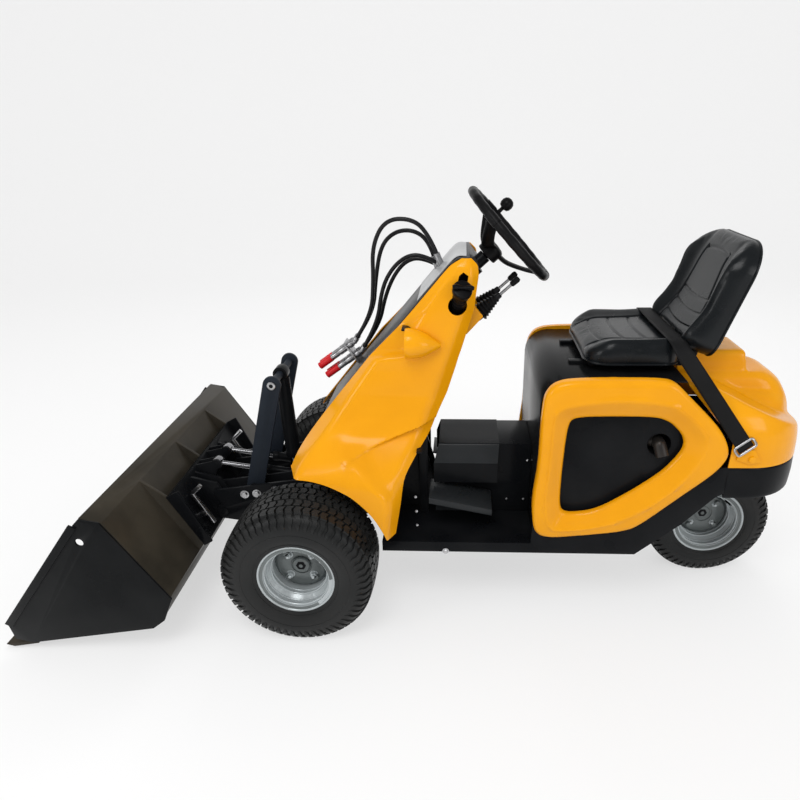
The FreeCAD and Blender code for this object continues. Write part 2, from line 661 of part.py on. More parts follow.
def console_frame():
    """Rear sheet, two side plates and feet that carry cover, panels and column."""
    half = cover_half_w - 1
    lower = along(cover_low, cover_high, 10, cover_t + seat_gap)
    upper = along(cover_low, cover_high, cover_len - 12, cover_t + seat_gap)
    side = [lower, upper, (-470, 1072), (-499, 1060), (-494, 960), (-464, 862), (-424, 720), (-390, 640),
            (-372, 600), (-372, floor_z), (-345, floor_z), (-345, 596)]
    wall = plate(side, wall_y, wall_y + wall_t)
    rear = plate([(-505, 1058), (-500, 960), (-470, 860), (-430, 720), (-395, 640), (-390, 640), (-424, 720),
                  (-464, 862), (-494, 960), (-499, 1058)], -half, half)
    tabs = []
    for x, y, z in ((-462, 0, 1044), (-320, 0, 900), (-440, 0, 800), (-190, 0, 720), (-380, 0, 660)):
        tabs.append(box(x - 12, x + 12, wall_y + wall_t - 1, 196, z, z + 4))
    tabs.append(box(-364, -346, wall_y + wall_t - 1, 250, 540, 544))
    left = fuse(wall, *tabs).cut(panel)
    left = Part.makeCompound([left]).Solids
    left = max(left, key=lambda piece: piece.Volume)
    return fuse(left, mirror(left), rear).cut(steering_column_raw())


save("console_frame", console_frame())
save("steering_column", steering_column_raw())


def steering_wheel():
    """Torus rim, three dished spokes, hub and the spinner knob."""
    centre = V(*on_column(0))
    normal = V(axis[0], 0, axis[1])
    rim_ = Part.makeTorus(steer_r, steer_rim_r, centre, normal)
    hub = rod(on_column(-hub_drop - 18), on_column(-hub_drop + 22), 34)
    hub = hub.cut(rod(on_column(-hub_drop - 20), on_column(-hub_drop + 16 + pin_gap), 10 + pin_gap))
    up = V(math.cos(lean), 0, math.sin(lean))
    pieces = [hub]
    for degrees in (180, 60, -60):
        a = math.radians(degrees)
        tip = centre + up * (steer_r * math.cos(a)) + V(0, steer_r * math.sin(a), 0)
        root = V(*on_column(-hub_drop + 6)) + (tip - centre) * 0.15
        pieces.append(rod(tuple(root), tuple(tip), 9))
    a = math.radians(-72)
    foot = centre + up * (steer_r * math.cos(a)) + V(0, steer_r * math.sin(a), 0)
    pieces.append(rod(tuple(foot), tuple(foot + normal * 36), 7))
    pieces.append(Part.makeSphere(19, foot + normal * 46))
    return fuse(rim_, *pieces)


save("steering_wheel", steering_wheel())


def control_valve():
    """Valve housing behind the console with two hand levers in rubber boots."""
    block = plate([(-480, 952), (-511, 952), (-541, 917), (-490, 861), (-480, 861)], -60, 100)
    block = max(block.cut(console_frame()).Solids, key=lambda piece: piece.CenterOfMass.x * -1)
    pieces = [block]
    for y, top in ((-15, -58), (65, -56)):
        def at(t, y=y):
            x, _, z = on_column(t)
            return (x - lever_drop * math.cos(lean), y, z - lever_drop * math.sin(lean))
        pieces.append(cone(at(-207), at(-130), 22, 10))
        pieces.append(rod(at(-135), at(top), 5))
        pieces.append(rod(at(top - 16), at(top), 9))
    return fuse(*pieces)


save("control_valve", control_valve())


def filler():
    """Filler neck and its winged cap in the left panel's opening."""
    low, out = filler_low, filler_out
    neck = rod((low[0], wall_y + wall_t - 4, low[1]), (out[0] - 2, 192, out[1] + 4), 21)
    cap = rod((out[0] - 2, 190, out[1] + 4), (out[0] - 8, 212, out[1] + 20), 25)
    return max(fuse(neck, cap).cut(console_frame()).Solids, key=lambda piece: piece.Volume)


save("filler_cap", filler())


# ---------------------------------------------------------------- footwell
def tunnel():
    outer = box(body_front_x, boom_pivot[0] - 125, -95, 95, floor_z, 498)
    inner = box(body_front_x - 1, boom_pivot[0] - 128, -92, 92, floor_z - 1, 495)
    return outer.cut(inner)


save("centre_tunnel", tunnel())


def footrest():
    """Sloping foot plate with a lip, on a bracket against the tunnel."""
    a, b = boom_pivot[0] - 79, body_front_x + 126
    top = plate([(a, 372), (b, 330), (b, 325), (a, 367)], 95, 222)
    lip = plate([(a, 372), (b, 330), (b, 308), (a, 350)], 218, 222)
    bracket = plate([(a - 16, 367), (b + 17, 331), (b + 17, floor_z), (a - 16, floor_z)], 95, 99)
    return fuse(top, lip, bracket)


save("footrests", both(footrest()))


# ---------------------------------------------------------------- engine bay
def arc_points(cx, cz, r, a0, a1, n):
    return [(cx + r * math.cos(math.radians(a0 + (a1 - a0) * k / n)),
             cz + r * math.sin(math.radians(a0 + (a1 - a0) * k / n))) for k in range(n + 1)]


def engine_deck():
    """Front and top sheet of the engine bay, rolled at the corner."""
    t = 4.0
    cx, cz = body_front_x - deck_r, deck_z - deck_r
    outer = [(body_front_x, floor_z)] + arc_points(cx, cz, deck_r, 0, 90, 6) + [(deck_rear_x, deck_z)]
    inner = [(body_front_x - t, floor_z)] + arc_points(cx, cz, deck_r - t, 0, 90, 6) + [(deck_rear_x, deck_z - t)]
    return plate(outer + inner[::-1], -body_half_w, body_half_w)


save("engine_deck", engine_deck())

# outlines of the side panel and its window, as stations from the rear axle
panel_outline = [(rear_x + x, z) for x, z in [
    (575, 272), (350, 297), (312, 305), (191, 416), (96, 504), (66, 552), (72, 590), (106, 646),
    (198, 735), (250, 788), (545, 785), (582, 768), (605, 725), (604, 521), (620, 372)]]
window_outline = [(rear_x + x, z) for x, z in [
    (533, 368), (506, 351), (424, 363), (327, 427), (240, 498), (195, 564), (190, 586), (199, 614),
    (238, 655), (276, 671), (504, 670), (528, 656)]]


def side_panel():
    """Moulded ring frame over the bay: outside the skirt below, deep above it."""
    top = belly_z + 120.5
    out = frame_half_w + seat_gap
    body = plate(panel_outline, body_half_w + 1, panel_out_y)
    f, r = body_front_x + 103, belly_rear_x
    relief = plate([(f, 100), (f, top), (r + 20, top), (r - 100, top + 105), (r - 191, bumper_high_z - 4),
                    (r - 285, bumper_high_z + 2), (r - 285, 100)], body_half_w - 5, out)
    window = plate(window_outline, body_half_w - 5, panel_out_y + 5)
    return body.cut(fuse(relief, window))


bay_panel = side_panel()
save("side_panel_left", bay_panel)
save("side_panel_right", mirror(bay_panel))
exhaust_at = (rear_x + 255, 575.0)
engine_half_w = 170.0
inner_panel_y = body_half_w - 18


def inner_panel():
    front, low, top = body_front_x - floor_t - seat_gap, belly_z + floor_t + seat_gap, deck_z - 4 - seat_gap
    r = belly_rear_x
    sheet = plate([(front, low), (r + 15, low), (r + 11, 340), (r - 81, 432), (r - 145, 560), (r - 85, 700),
                   (r - 5, top), (front - 78, top), (front, top - 76)], inner_panel_y, inner_panel_y + 4)
    return sheet.cut(rod_y(exhaust_at, 34, inner_panel_y - 4, inner_panel_y + 8))


save("inner_panels", both(inner_panel()))
save("engine_block", box(belly_rear_x + 12, body_front_x - 77, -engine_half_w, engine_half_w,
                         floor_z - 1 + seat_gap, 640))


def pipe(points, r):
    """Round pipe through the points, with ball corners."""
    parts = [rod(a, b, r) for a, b in zip(points, points[1:])]
    return fuse(*parts, *[Part.makeSphere(r, V(*p)) for p in points[1:-1]])


def exhaust():
    x, z = exhaust_at
    y = inner_panel_y
    return pipe([(x + 70, engine_half_w + seat_gap, z), (x + 70, y - 44, z), (x, y - 22, z), (x, y + 8, z),
                 (x - 8, y + 24, z - 30)], 19)


save("exhaust_elbow", exhaust())


# ---------------------------------------------------------------- tail
hood_cuts = [  # height, half width, rear x, corner radius
    (bumper_high_z + seat_gap, frame_half_w + 2, tail_x, tail_corner_r),
    (600, frame_half_w - 1, tail_x + 4, 195),
    (660, frame_half_w - 17, tail_x + 26, 190),
    (705, frame_half_w - 45, tail_x + 52, 175),
    (750, frame_half_w - 80, tail_x + 100, 150),
]
spine_cuts = [
    (560, 132, tail_x + 10, 60),
    (640, 126, tail_x + 18, 60),
    (700, 114, tail_x + 48, 60),
    (742, 98, tail_x + 92, 60),
]
hood_front_x = skirt_end_x + 122
rim_front = (tail_x + 274, 727.0)     # the side rim falls from here to the tail
rim_rear = (tail_x, 604.0)
hump_rear_x = tail_x + 170
hump_top_z = 806.0
hump_half_w = 96.0


def tail_loft(cuts, off):
    """Closed form through tail outlines, drawn in by off."""
    rings = []
    for z, half, rear, corner in cuts:
        z_ = z - off if z > bumper_high_z + 10 else z - (1 if off else 0)
        rings.append(tail_outline(half - off, hood_front_x + 8, rear + off, corner, z_))
    return loft(rings)


def hood_form(off):
    """Low bowl with a falling rim, the spine along its middle and the hump ahead."""
    (ax, az), (bx, bz) = rim_front, rim_rear
    slope = (az - bz) / (ax - bx)
    ends = (bx - 100, hood_front_x + 60)
    above = plate([(x, bz - off + slope * (x - bx)) for x in ends] + [(ends[1], 1200), (ends[0], 1200)], -400, 400)
    bowl = tail_loft(hood_cuts, off).cut(above)
    spine = tail_loft(spine_cuts, off)
    x0, x1, z, half = hump_rear_x + off, hood_front_x + 7, hump_top_z - off, hump_half_w - off
    hump = loft([[(x0 - 22, -half - 12, 690), (x1, -half - 12, 690), (x1, half + 12, 690), (x0 - 22, half + 12, 690)],
                 [(x0, -half, z), (x1, -half, z), (x1, half, z), (x0, half, z)]])
    return fuse(bowl, spine, hump)


def rear_hood():
    """Moulded cover over the tail, open below and towards the seat."""
    shell = hood_form(0).cut(hood_form(hood_t))
    e = skirt_end_x
    front = plate([(e + 250, 500), (e + 4, 500), (e, 600), (e + 44, 655), (hood_front_x, 745),
                   (hood_front_x, 860), (e + 250, 860)], -400, 400)
    return shell.cut(front)


save("rear_hood", rear_hood())


# ---------------------------------------------------------------- seat
def seat_base():
    """Sheet pan, its two slide rails and the back's brackets."""
    r = seat_rear_x
    pan = box(r + 5, seat_front_x - 20, -150, 150, deck_z + 8, deck_z + 14)
    rails = [box(r + 20, seat_front_x + 30, y, y + 24, deck_z, deck_z + 9) for y in (-112, 88)]
    brackets = [plate([(r + 70, deck_z + 8), (r - 20, deck_z + 8), (r - 48, deck_z + 130), (r - 30, deck_z + 136),
                       (r + 8, deck_z + 30), (r + 70, deck_z + 22)], y, y + 6) for y in (-150, 144)]
    return fuse(pan, *rails, *brackets)


save("seat_base", seat_base())


def seat_cushion():
    z0 = deck_z + 14 + seat_gap
    block = box(seat_rear_x + 22, seat_front_x, -seat_half_w, seat_half_w, z0, z0 + cushion_t)
    edges = [e for e in block.Edges if abs(e.Vertexes[0].Z - e.Vertexes[-1].Z) > 10]
    block = block.makeFillet(60, edges)
    notch = box(seat_rear_x, seat_rear_x + 80, 143, 151, z0 - 1, z0 + 80)
    return block.cut(fuse(notch, mirror(notch)))


save("seat_cushion", seat_cushion())


def seat_back():
    """Leaning padded back, its foot close behind the cushion."""
    foot, top = (seat_rear_x - 35, deck_z + 60), (seat_rear_x - 138, deck_z + 365)
    dx, dz = top[0] - foot[0], top[1] - foot[1]
    n = math.hypot(dx, dz)
    ux, uz = dx / n, dz / n
    fx, fz = uz, -ux
    front_x, low_z = seat_rear_x + 22 - seat_gap, hump_top_z + side_gap
    pts = [(front_x, low_z), (front_x, deck_z + 84), (foot[0] + fx * 36, foot[1] + fz * 36 + 14),
           (top[0] + fx * 22, top[1] + fz * 22),
           (top[0] - fx * 18, top[1] - fz * 18), (foot[0] - fx * 40, foot[1] - fz * 40),
           (foot[0] - fx * 40 + 8, low_z)]
    body = plate(pts, -seat_half_w + 5, seat_half_w - 5)
    return body.cut(seat_base())


save("seat_back", seat_back())


belt_w = 46.0
belt_t = 2.5
anchor_at = (rear_x + 20, 578.0)
belt_hang_y = frame_half_w - 61


def belt_path():
    """Left half of the lap belt: across the cushion's rear, then down to the anchor."""
    top = deck_z + 14 + seat_gap + cushion_t + seat_gap
    x = seat_rear_x + 48
    return [(x, 0, top + belt_t / 2), (x, seat_half_w - 2, top + belt_t / 2),
            (x - 14, belt_hang_y, top - 22), (anchor_at[0], frame_half_w + 9, anchor_at[1])]


def seat_belt():
    """Flat webbing through the path, its width along the machine."""
    pts = [V(*p) for p in belt_path()]
    strips = []
    for a, b in zip(pts, pts[1:]):
        run = (b - a).normalize()
        wide = V(1, 0, 0) - run * run.x
        wide.normalize()
        thick = run.cross(wide)
        half = wide * (belt_w / 2)
        up = thick * (belt_t / 2)
        a_, b_ = a - run * 1.0, b + run * (1.0 if b != pts[-1] else 0.0)
        face = Part.Face(Part.makePolygon([a_ + half + up, a_ - half + up, a_ - half - up, a_ + half - up,
                                           a_ + half + up]))
        strips.append(face.extrude(b_ - a_))
    half_belt = fuse(*strips)
    half_belt = half_belt.cut(box(-2000, 0, -100, 0, 0, 2000))
    return half_belt


def belt_anchor():
    """Plate bolted to the tail with the belt's buckle on it."""
    x, z = anchor_at
    y = frame_half_w + 3
    plate_ = plate([(x + 20, z + 2), (x - 20, z + 2), (x - 46, z - 38), (x - 12, z - 44), (x + 26, z - 30)], y, y + 4)
    bolt = rod_y((x - 16, z - 26), 10, y + 3, y + 12)
    return fuse(plate_, bolt)


half_belt = seat_belt()
save("belt_anchors", both(belt_anchor()))
save("seat_belt", fuse(half_belt, mirror(half_belt)).cut(both(belt_anchor())))


# ---------------------------------------------------------------- hoses
hose_d = 13.0
coupler_r = 11.5
coupler_len = 96.0
cap_len = 52.0
ferrule_len = 16.0
row_drop = 38.0
coupler_dir = (0.817, -0.577)
coupler_first = (-130.0, 792.0)
coupler_ys = (-58.0, -88.0)
row_low = (coupler_first[0] - coupler_dir[0] * 0 + coupler_dir[1] * row_drop,
           coupler_first[1] - coupler_dir[0] * row_drop)
# each route: from its fitting on the cover, over the top, down to its coupler;
# the last station is left for the ferrule
hose_routes = {
    "hose_outer": ([(-401, -30, 1078), (-380, -29, 1128), (-335, -28, 1178), (-250, -32, 1178),
                    (-205, -40, 1100), (-203, -47, 990), (-190, -55, 880)], coupler_ys[0], coupler_first),
    "hose_inner": ([(-390, -76, 1063), (-375, -76, 1108), (-330, -77, 1140), (-272, -78, 1136),
                    (-226, -82, 1092), (-205, -86, 988), (-193, -88, 880)], coupler_ys[1], coupler_first),
    "hose_low": ([(-400, -52, 1046), (-356, -51, 1070), (-306, -51, 1066), (-258, -52, 1024),
                  (-226, -55, 960), (-208, -57, 850)], coupler_ys[0], row_low),
    "hose_lowest": ([(-398, -96, 1032), (-352, -97, 1054), (-302, -97, 1044), (-262, -95, 998),
                     (-232, -92, 930), (-210, -89, 838)], coupler_ys[1], row_low),
}


def hose_points(name):
    """Stations of one hose, ending at the ferrule's mouth."""
    pts, y, start = hose_routes[name]
    ball = V(start[0], y, start[1])
    run = ball - V(*pts[-1])
    return [V(*p) for p in pts] + [ball - run.normalize() * ferrule_len]


def hose_path(pts):
    """Straight runs joined by tangent arcs, and the arcs' radii."""
    edges, radii, at = [], [], pts[0]
    for a, b, c in zip(pts, pts[1:], pts[2:]):
        u, v = (a - b), (c - b)
        turn = math.pi - u.getAngle(v)
        back = 0.45 * min(u.Length, v.Length)
        radii.append(back / math.tan(turn / 2))
        u.normalize()
        v.normalize()
        p, q = b + u * back, b + v * back
        mid_dir = (u + v).normalize()
        centre = b + mid_dir * (radii[-1] / math.cos(turn / 2))
        mid = centre - mid_dir * radii[-1]
        edges += [Part.LineSegment(at, p).toShape(), Part.Arc(p, mid, q).toShape()]
        at = q
    edges.append(Part.LineSegment(at, pts[-1]).toShape())
    return Part.Wire(edges), radii


def hose(name):
    pts = hose_points(name)
    path, radii = hose_path(pts)
    run = pts[1] - pts[0]
    ring = Part.Wire(Part.makeCircle(hose_d / 2, pts[0], run))
    tube = path.makePipeShell([ring], True, False)
    section = math.pi * hose_d ** 2 / 4
    print(name, "length %.0f" % path.Length, "radii", ["%.0f" % r for r in radii],
          "volume ratio %.4f" % (tube.Volume / section / path.Length))
    return tube


def hose_fittings():
    """Four straight fittings that stand on the cover where the hoses start."""
    pieces = []
    for name in hose_routes:
        pts = hose_points(name)
        back = (pts[0] - pts[1]).normalize()
        pieces.append(rod(tuple(pts[0]), tuple(pts[0] + back * 45), 9.5))
    cover = slope_cover()
    below = plate([along(cover_low, cover_high, 0, cover_t / 2), along(cover_low, cover_high, cover_len, cover_t / 2),
                   (-480, 900), (-100, 560)], -200, 200)
    kept = [piece.cut(cover).cut(below) for piece in pieces]
    return Part.makeCompound([max(k.Solids, key=lambda part: part.CenterOfMass.z) for k in kept])


def hose_couplers():
    """Bulkhead bracket on the cover with four quick couplers through it."""
    ax, az = coupler_dir
    pieces = []
    for name in hose_routes:
        pts = hose_points(name)
        _, y, start = hose_routes[name]
        ball = V(start[0], y, start[1])
        pieces.append(rod(tuple(pts[-1]), tuple(ball), 9.5))
        pieces.append(Part.makeSphere(9.5, ball))
        end = (ball.x + ax * coupler_len, y, ball.z + az * coupler_len)
        pieces.append(rod(tuple(ball), end, coupler_r - 3))
        for s0, s1, r in ((8, 22, coupler_r), (34, 62, coupler_r), (66, coupler_len, coupler_r - 1)):
            pieces.append(rod((ball.x + ax * s0, y, ball.z + az * s0), (ball.x + ax * s1, y, ball.z + az * s1), r))
    mid = (coupler_first[0] + ax * 26, coupler_first[1] + az * 26)
    out, down = (mid[0] - az * 17, mid[1] + ax * 17), (mid[0] + az * 80, mid[1] - ax * 80)
    sheet = plate([out, (out[0] + ax * 6, out[1] + az * 6), (down[0] + ax * 6, down[1] + az * 6), down],
                  coupler_ys[1] - 14, coupler_ys[0] + 16)
    below = plate([along(cover_low, cover_high, -100, 0), along(cover_low, cover_high, cover_len, 0), (-500, 700),
                   (-100, 400)], -200, 200)
    pieces.append(sheet.cut(below))
    return fuse(*pieces).cut(slope_cover())


def coupler_caps():
    ax, az = coupler_dir
    caps = []
    for name in hose_routes:
        _, y, start = hose_routes[name]
        a = (start[0] + ax * coupler_len, y, start[1] + az * coupler_len)
        b = (start[0] + ax * (coupler_len + cap_len), y, start[1] + az * (coupler_len + cap_len))
        caps.append(rod(a, b, coupler_r))
    return Part.makeCompound(caps)


for name in hose_routes:
    save(name, hose(name))
save("hose_fittings", hose_fittings())
save("hose_couplers", hose_couplers())
save("coupler_caps", coupler_caps())
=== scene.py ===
"""Looks of a three-wheeled ride-on mini wheel loader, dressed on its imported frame.

Lengths in the tables are millimetres measured from the front axle and the
ground (x forward, y left, z up); ``place`` turns them into row-frame metres.
"""

import json
import logging
import math
from collections.abc import Sequence
from dataclasses import dataclass
from enum import Enum

import bmesh
import bpy
import numpy as np
from mathutils import Matrix, Vector
from numpy.typing import ArrayLike

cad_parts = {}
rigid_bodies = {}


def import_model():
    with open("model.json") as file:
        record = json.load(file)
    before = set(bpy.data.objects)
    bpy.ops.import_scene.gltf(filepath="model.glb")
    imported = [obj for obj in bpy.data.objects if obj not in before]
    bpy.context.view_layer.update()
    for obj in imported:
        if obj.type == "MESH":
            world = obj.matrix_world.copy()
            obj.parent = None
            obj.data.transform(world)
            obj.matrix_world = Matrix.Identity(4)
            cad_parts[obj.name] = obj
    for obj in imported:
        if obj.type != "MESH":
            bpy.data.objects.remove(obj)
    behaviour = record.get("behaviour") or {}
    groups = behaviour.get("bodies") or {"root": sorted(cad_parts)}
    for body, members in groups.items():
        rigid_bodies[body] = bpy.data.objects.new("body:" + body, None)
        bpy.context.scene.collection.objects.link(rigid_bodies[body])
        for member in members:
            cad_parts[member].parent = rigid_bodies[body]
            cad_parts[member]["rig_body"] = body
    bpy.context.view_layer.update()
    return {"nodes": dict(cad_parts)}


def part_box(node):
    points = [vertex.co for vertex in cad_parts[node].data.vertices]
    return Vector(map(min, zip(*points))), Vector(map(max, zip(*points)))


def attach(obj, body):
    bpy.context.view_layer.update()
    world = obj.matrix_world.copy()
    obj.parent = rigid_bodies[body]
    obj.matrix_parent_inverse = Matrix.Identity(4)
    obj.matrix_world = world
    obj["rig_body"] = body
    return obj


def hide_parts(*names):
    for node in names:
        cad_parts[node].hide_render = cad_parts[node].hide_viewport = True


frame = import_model()
LOG = logging.getLogger("loader")

SHIFT_X = 309.15
FRONT_AXLE_Z = 228.5
REAR_AXLE = (-1310.0, 203.0)


def place(points: ArrayLike) -> np.ndarray:
    """Table millimetres to row-frame metres.

    Args:
        points: array of shape (..., 3) in table millimetres.
    Returns:
        The same points as float metres in the row frame.
    """
    out = np.array(points, float)
    out[..., 0] += SHIFT_X
    return out / 1000.0


# ------------------------------------------------------------------ finishes
class Surface(Enum):
    """How a finish builds its fine relief."""

    PAINT = "paint"
    MOULDED = "moulded"
    RUBBER = "rubber"
    VINYL = "vinyl"
    METAL = "metal"
    GLASS = "glass"


@dataclass(frozen=True)
class Finish:
    """One procedural material.

    Attributes:
        name: the material's name.
        slot: the record's material slot that it belongs to; not used.
        colour: linear base colour.
        rough: mean roughness.
        spread: how far roughness wanders either way.
        surface: the family of fine relief.
        metal: metallic share.
        coat: clear coat weight.
        tone: second colour that noise mixes in.
        relief: strength of the fine relief.
        grain: cells of relief per metre.
        shine: specular level.
    """

    name: str
    slot: str
    colour: tuple
    rough: float
    spread: float
    surface: Surface
    metal: float = 0.0
    coat: float = 0.0
    tone: tuple = ()
    relief: float = 0.1
    grain: float = 900.0
    shine: float = 0.3

    def material(self) -> bpy.types.Material:
        """The Blender material, built the first time it is asked for."""
        found = bpy.data.materials.get(self.name)
        return found or build_material(self)


YELLOW = Finish("yellow_gloss", "yellow_paint", (0.80, 0.335, 0.004), 0.22, 0.05, Surface.PAINT,
                coat=0.12, tone=(0.76, 0.31, 0.003), relief=0.04, grain=260.0, shine=0.16)
BLACK = Finish("black_satin", "black_paint", (0.0045, 0.005, 0.006), 0.3, 0.12, Surface.PAINT,
               coat=0.03, tone=(0.0085, 0.009, 0.010), relief=0.08, grain=420.0, shine=0.06)
FOOTWELL = Finish("footwell_grey", "black_paint", (0.017, 0.019, 0.0205), 0.3, 0.1, Surface.PAINT,
                  coat=0.05, tone=(0.024, 0.026, 0.028), relief=0.07, grain=380.0, shine=0.14)
BLUE_GREY = Finish("blue_grey_satin", "blue_grey_paint", (0.014, 0.018, 0.025), 0.42, 0.1, Surface.PAINT,
                   tone=(0.019, 0.024, 0.032), relief=0.07, grain=420.0, shine=0.1)
BUCKET = Finish("bucket_bronze_black", "bucket_paint", (0.026, 0.0225, 0.017), 0.34, 0.12, Surface.PAINT,
                coat=0.03, tone=(0.040, 0.034, 0.025), relief=0.07, grain=380.0, shine=0.08)
BUCKET_SIDE = Finish("bucket_side_black", "bucket_paint", (0.005, 0.0055, 0.006), 0.3, 0.12, Surface.PAINT,
                     coat=0.03, tone=(0.0085, 0.009, 0.0095), relief=0.07, grain=380.0, shine=0.08)
SILVER = Finish("rim_silver", "silver_paint", (0.47, 0.51, 0.52), 0.3, 0.08, Surface.PAINT,
                metal=0.35, tone=(0.40, 0.43, 0.44), relief=0.05, grain=500.0, shine=0.5)
# Painted shade: a darker copy of the rim's silver paint for the shadowed disc, hub boss and stud end.
RIM_DISC_SHADE = Finish("rim_disc_painted_shade", "silver_paint", (0.15, 0.168, 0.168), 0.36, 0.1, Surface.PAINT,
              metal=0.3, tone=(0.11, 0.122, 0.122), relief=0.1, grain=420.0, shine=0.4)
COVER = Finish("cover_grey", "grey_cover", (0.050, 0.050, 0.053), 0.38, 0.08, Surface.MOULDED,
               tone=(0.04, 0.04, 0.042), relief=0.2, grain=1400.0, shine=0.2)
# Painted highlight: a pale grey that stands for the glossy reflection on the slope cover's top end.
COVER_HIGHLIGHT = Finish("cover_painted_highlight", "grey_cover", (0.45, 0.455, 0.46), 0.3, 0.06, Surface.MOULDED,
              tone=(0.36, 0.365, 0.37), relief=0.1, grain=900.0)
PLASTIC = Finish("black_moulded", "black_plastic", (0.0045, 0.0045, 0.005), 0.34, 0.1, Surface.MOULDED,
                 tone=(0.0085, 0.0085, 0.009), relief=0.18, grain=1600.0, shine=0.1)
DECK = Finish("deck_gloss_black", "black_plastic", (0.0045, 0.005, 0.0055), 0.24, 0.06, Surface.PAINT,
              coat=0.02, tone=(0.008, 0.008, 0.0085), relief=0.08, grain=300.0, shine=0.05)
TYRE = Finish("tyre_rubber", "tyre", (0.0105, 0.0112, 0.0115), 0.42, 0.12, Surface.RUBBER,
              tone=(0.017, 0.0172, 0.017), relief=0.3, grain=700.0, shine=0.2)
HOSE = Finish("black_hose", "hose_rubber", (0.0055, 0.0055, 0.006), 0.34, 0.1, Surface.RUBBER,
              tone=(0.010, 0.010, 0.011), relief=0.15, grain=900.0, shine=0.25)
VINYL = Finish("black_vinyl", "seat_vinyl", (0.0045, 0.006, 0.0072), 0.28, 0.06, Surface.VINYL,
               tone=(0.0075, 0.009, 0.0105), relief=0.12, grain=950.0, shine=0.24)
STEEL = Finish("zinc_steel", "steel", (0.56, 0.56, 0.57), 0.3, 0.1, Surface.METAL,
               metal=1.0, tone=(0.44, 0.44, 0.45), relief=0.06, grain=700.0)
CHROME = Finish("rod_chrome", "chrome_rod", (0.30, 0.30, 0.31), 0.16, 0.05, Surface.METAL,
                metal=1.0, tone=(0.24, 0.24, 0.25), relief=0.02, grain=300.0)
IRON = Finish("engine_cast", "engine_iron", (0.012, 0.012, 0.013), 0.6, 0.15, Surface.METAL,
              metal=0.6, tone=(0.02, 0.02, 0.022), relief=0.5, grain=350.0, shine=0.2)
PIPE = Finish("exhaust_dark_steel", "steel", (0.035, 0.034, 0.034), 0.42, 0.12, Surface.METAL,
              metal=0.7, tone=(0.055, 0.048, 0.042), relief=0.2, grain=500.0)
LENS = Finish("clear_lens", "lamp_lens", (0.9, 0.92, 0.93), 0.06, 0.03, Surface.GLASS,
              relief=0.02, grain=120.0, shine=0.5)
RED = Finish("red_cap", "red_plastic", (0.62, 0.010, 0.016), 0.35, 0.08, Surface.MOULDED,
             tone=(0.5, 0.008, 0.012), relief=0.08, grain=900.0)
WEBBING = Finish("black_webbing", "belt_webbing", (0.006, 0.006, 0.0065), 0.6, 0.06, Surface.MOULDED,
                 tone=(0.0095, 0.0095, 0.010), relief=0.3, grain=1500.0, shine=0.15)


def relief_group() -> bpy.types.ShaderNodeTree:
    """Shared node group: two octaves of noise give a tone mask, a roughness and a bump normal.

    Returns:
        The node tree; inputs Vector, Grain, Rough, Spread, Strength, outputs Mask, Roughness, Normal.
    """
    tree = bpy.data.node_groups.get("fine_relief")
    if tree:
        return tree
    tree = bpy.data.node_groups.new("fine_relief", "ShaderNodeTree")
    face = tree.interface
    face.new_socket("Vector", in_out="INPUT", socket_type="NodeSocketVector")
    for name in ("Grain", "Rough", "Spread", "Strength"):
        face.new_socket(name, in_out="INPUT", socket_type="NodeSocketFloat")
    face.new_socket("Mask", in_out="OUTPUT", socket_type="NodeSocketFloat")
    face.new_socket("Roughness", in_out="OUTPUT", socket_type="NodeSocketFloat")
    face.new_socket("Normal", in_out="OUTPUT", socket_type="NodeSocketVector")
    n, link = tree.nodes, tree.links.new
    src, out = n.new("NodeGroupInput"), n.new("NodeGroupOutput")
    broad, fine = n.new("ShaderNodeTexNoise"), n.new("ShaderNodeTexNoise")
    broad.inputs["Scale"].default_value = 7.0
    broad.inputs["Detail"].default_value = 5.0
    fine.inputs["Detail"].default_value = 3.0
    ranged = n.new("ShaderNodeMapRange")
    ranged.inputs["From Min"].default_value = 0.35
    ranged.inputs["From Max"].default_value = 0.65
    wander = n.new("ShaderNodeMath")
    wander.operation = "MULTIPLY_ADD"
    centred = n.new("ShaderNodeMath")
    centred.operation = "SUBTRACT"
    centred.inputs[1].default_value = 0.5
    bump = n.new("ShaderNodeBump")
    bump.inputs["Distance"].default_value = 0.0006
    for noise in (broad, fine):
        link(src.outputs["Vector"], noise.inputs["Vector"])
    link(src.outputs["Grain"], fine.inputs["Scale"])
    link(broad.outputs["Fac"], ranged.inputs["Value"])
    link(broad.outputs["Fac"], centred.inputs[0])
    link(centred.outputs[0], wander.inputs[0])
    link(src.outputs["Spread"], wander.inputs[1])
    link(src.outputs["Rough"], wander.inputs[2])
    link(fine.outputs["Fac"], bump.inputs["Height"])
    link(src.outputs["Strength"], bump.inputs["Strength"])
    link(ranged.outputs["Result"], out.inputs["Mask"])
    link(wander.outputs[0], out.inputs["Roughness"])
    link(bump.outputs["Normal"], out.inputs["Normal"])
    return tree


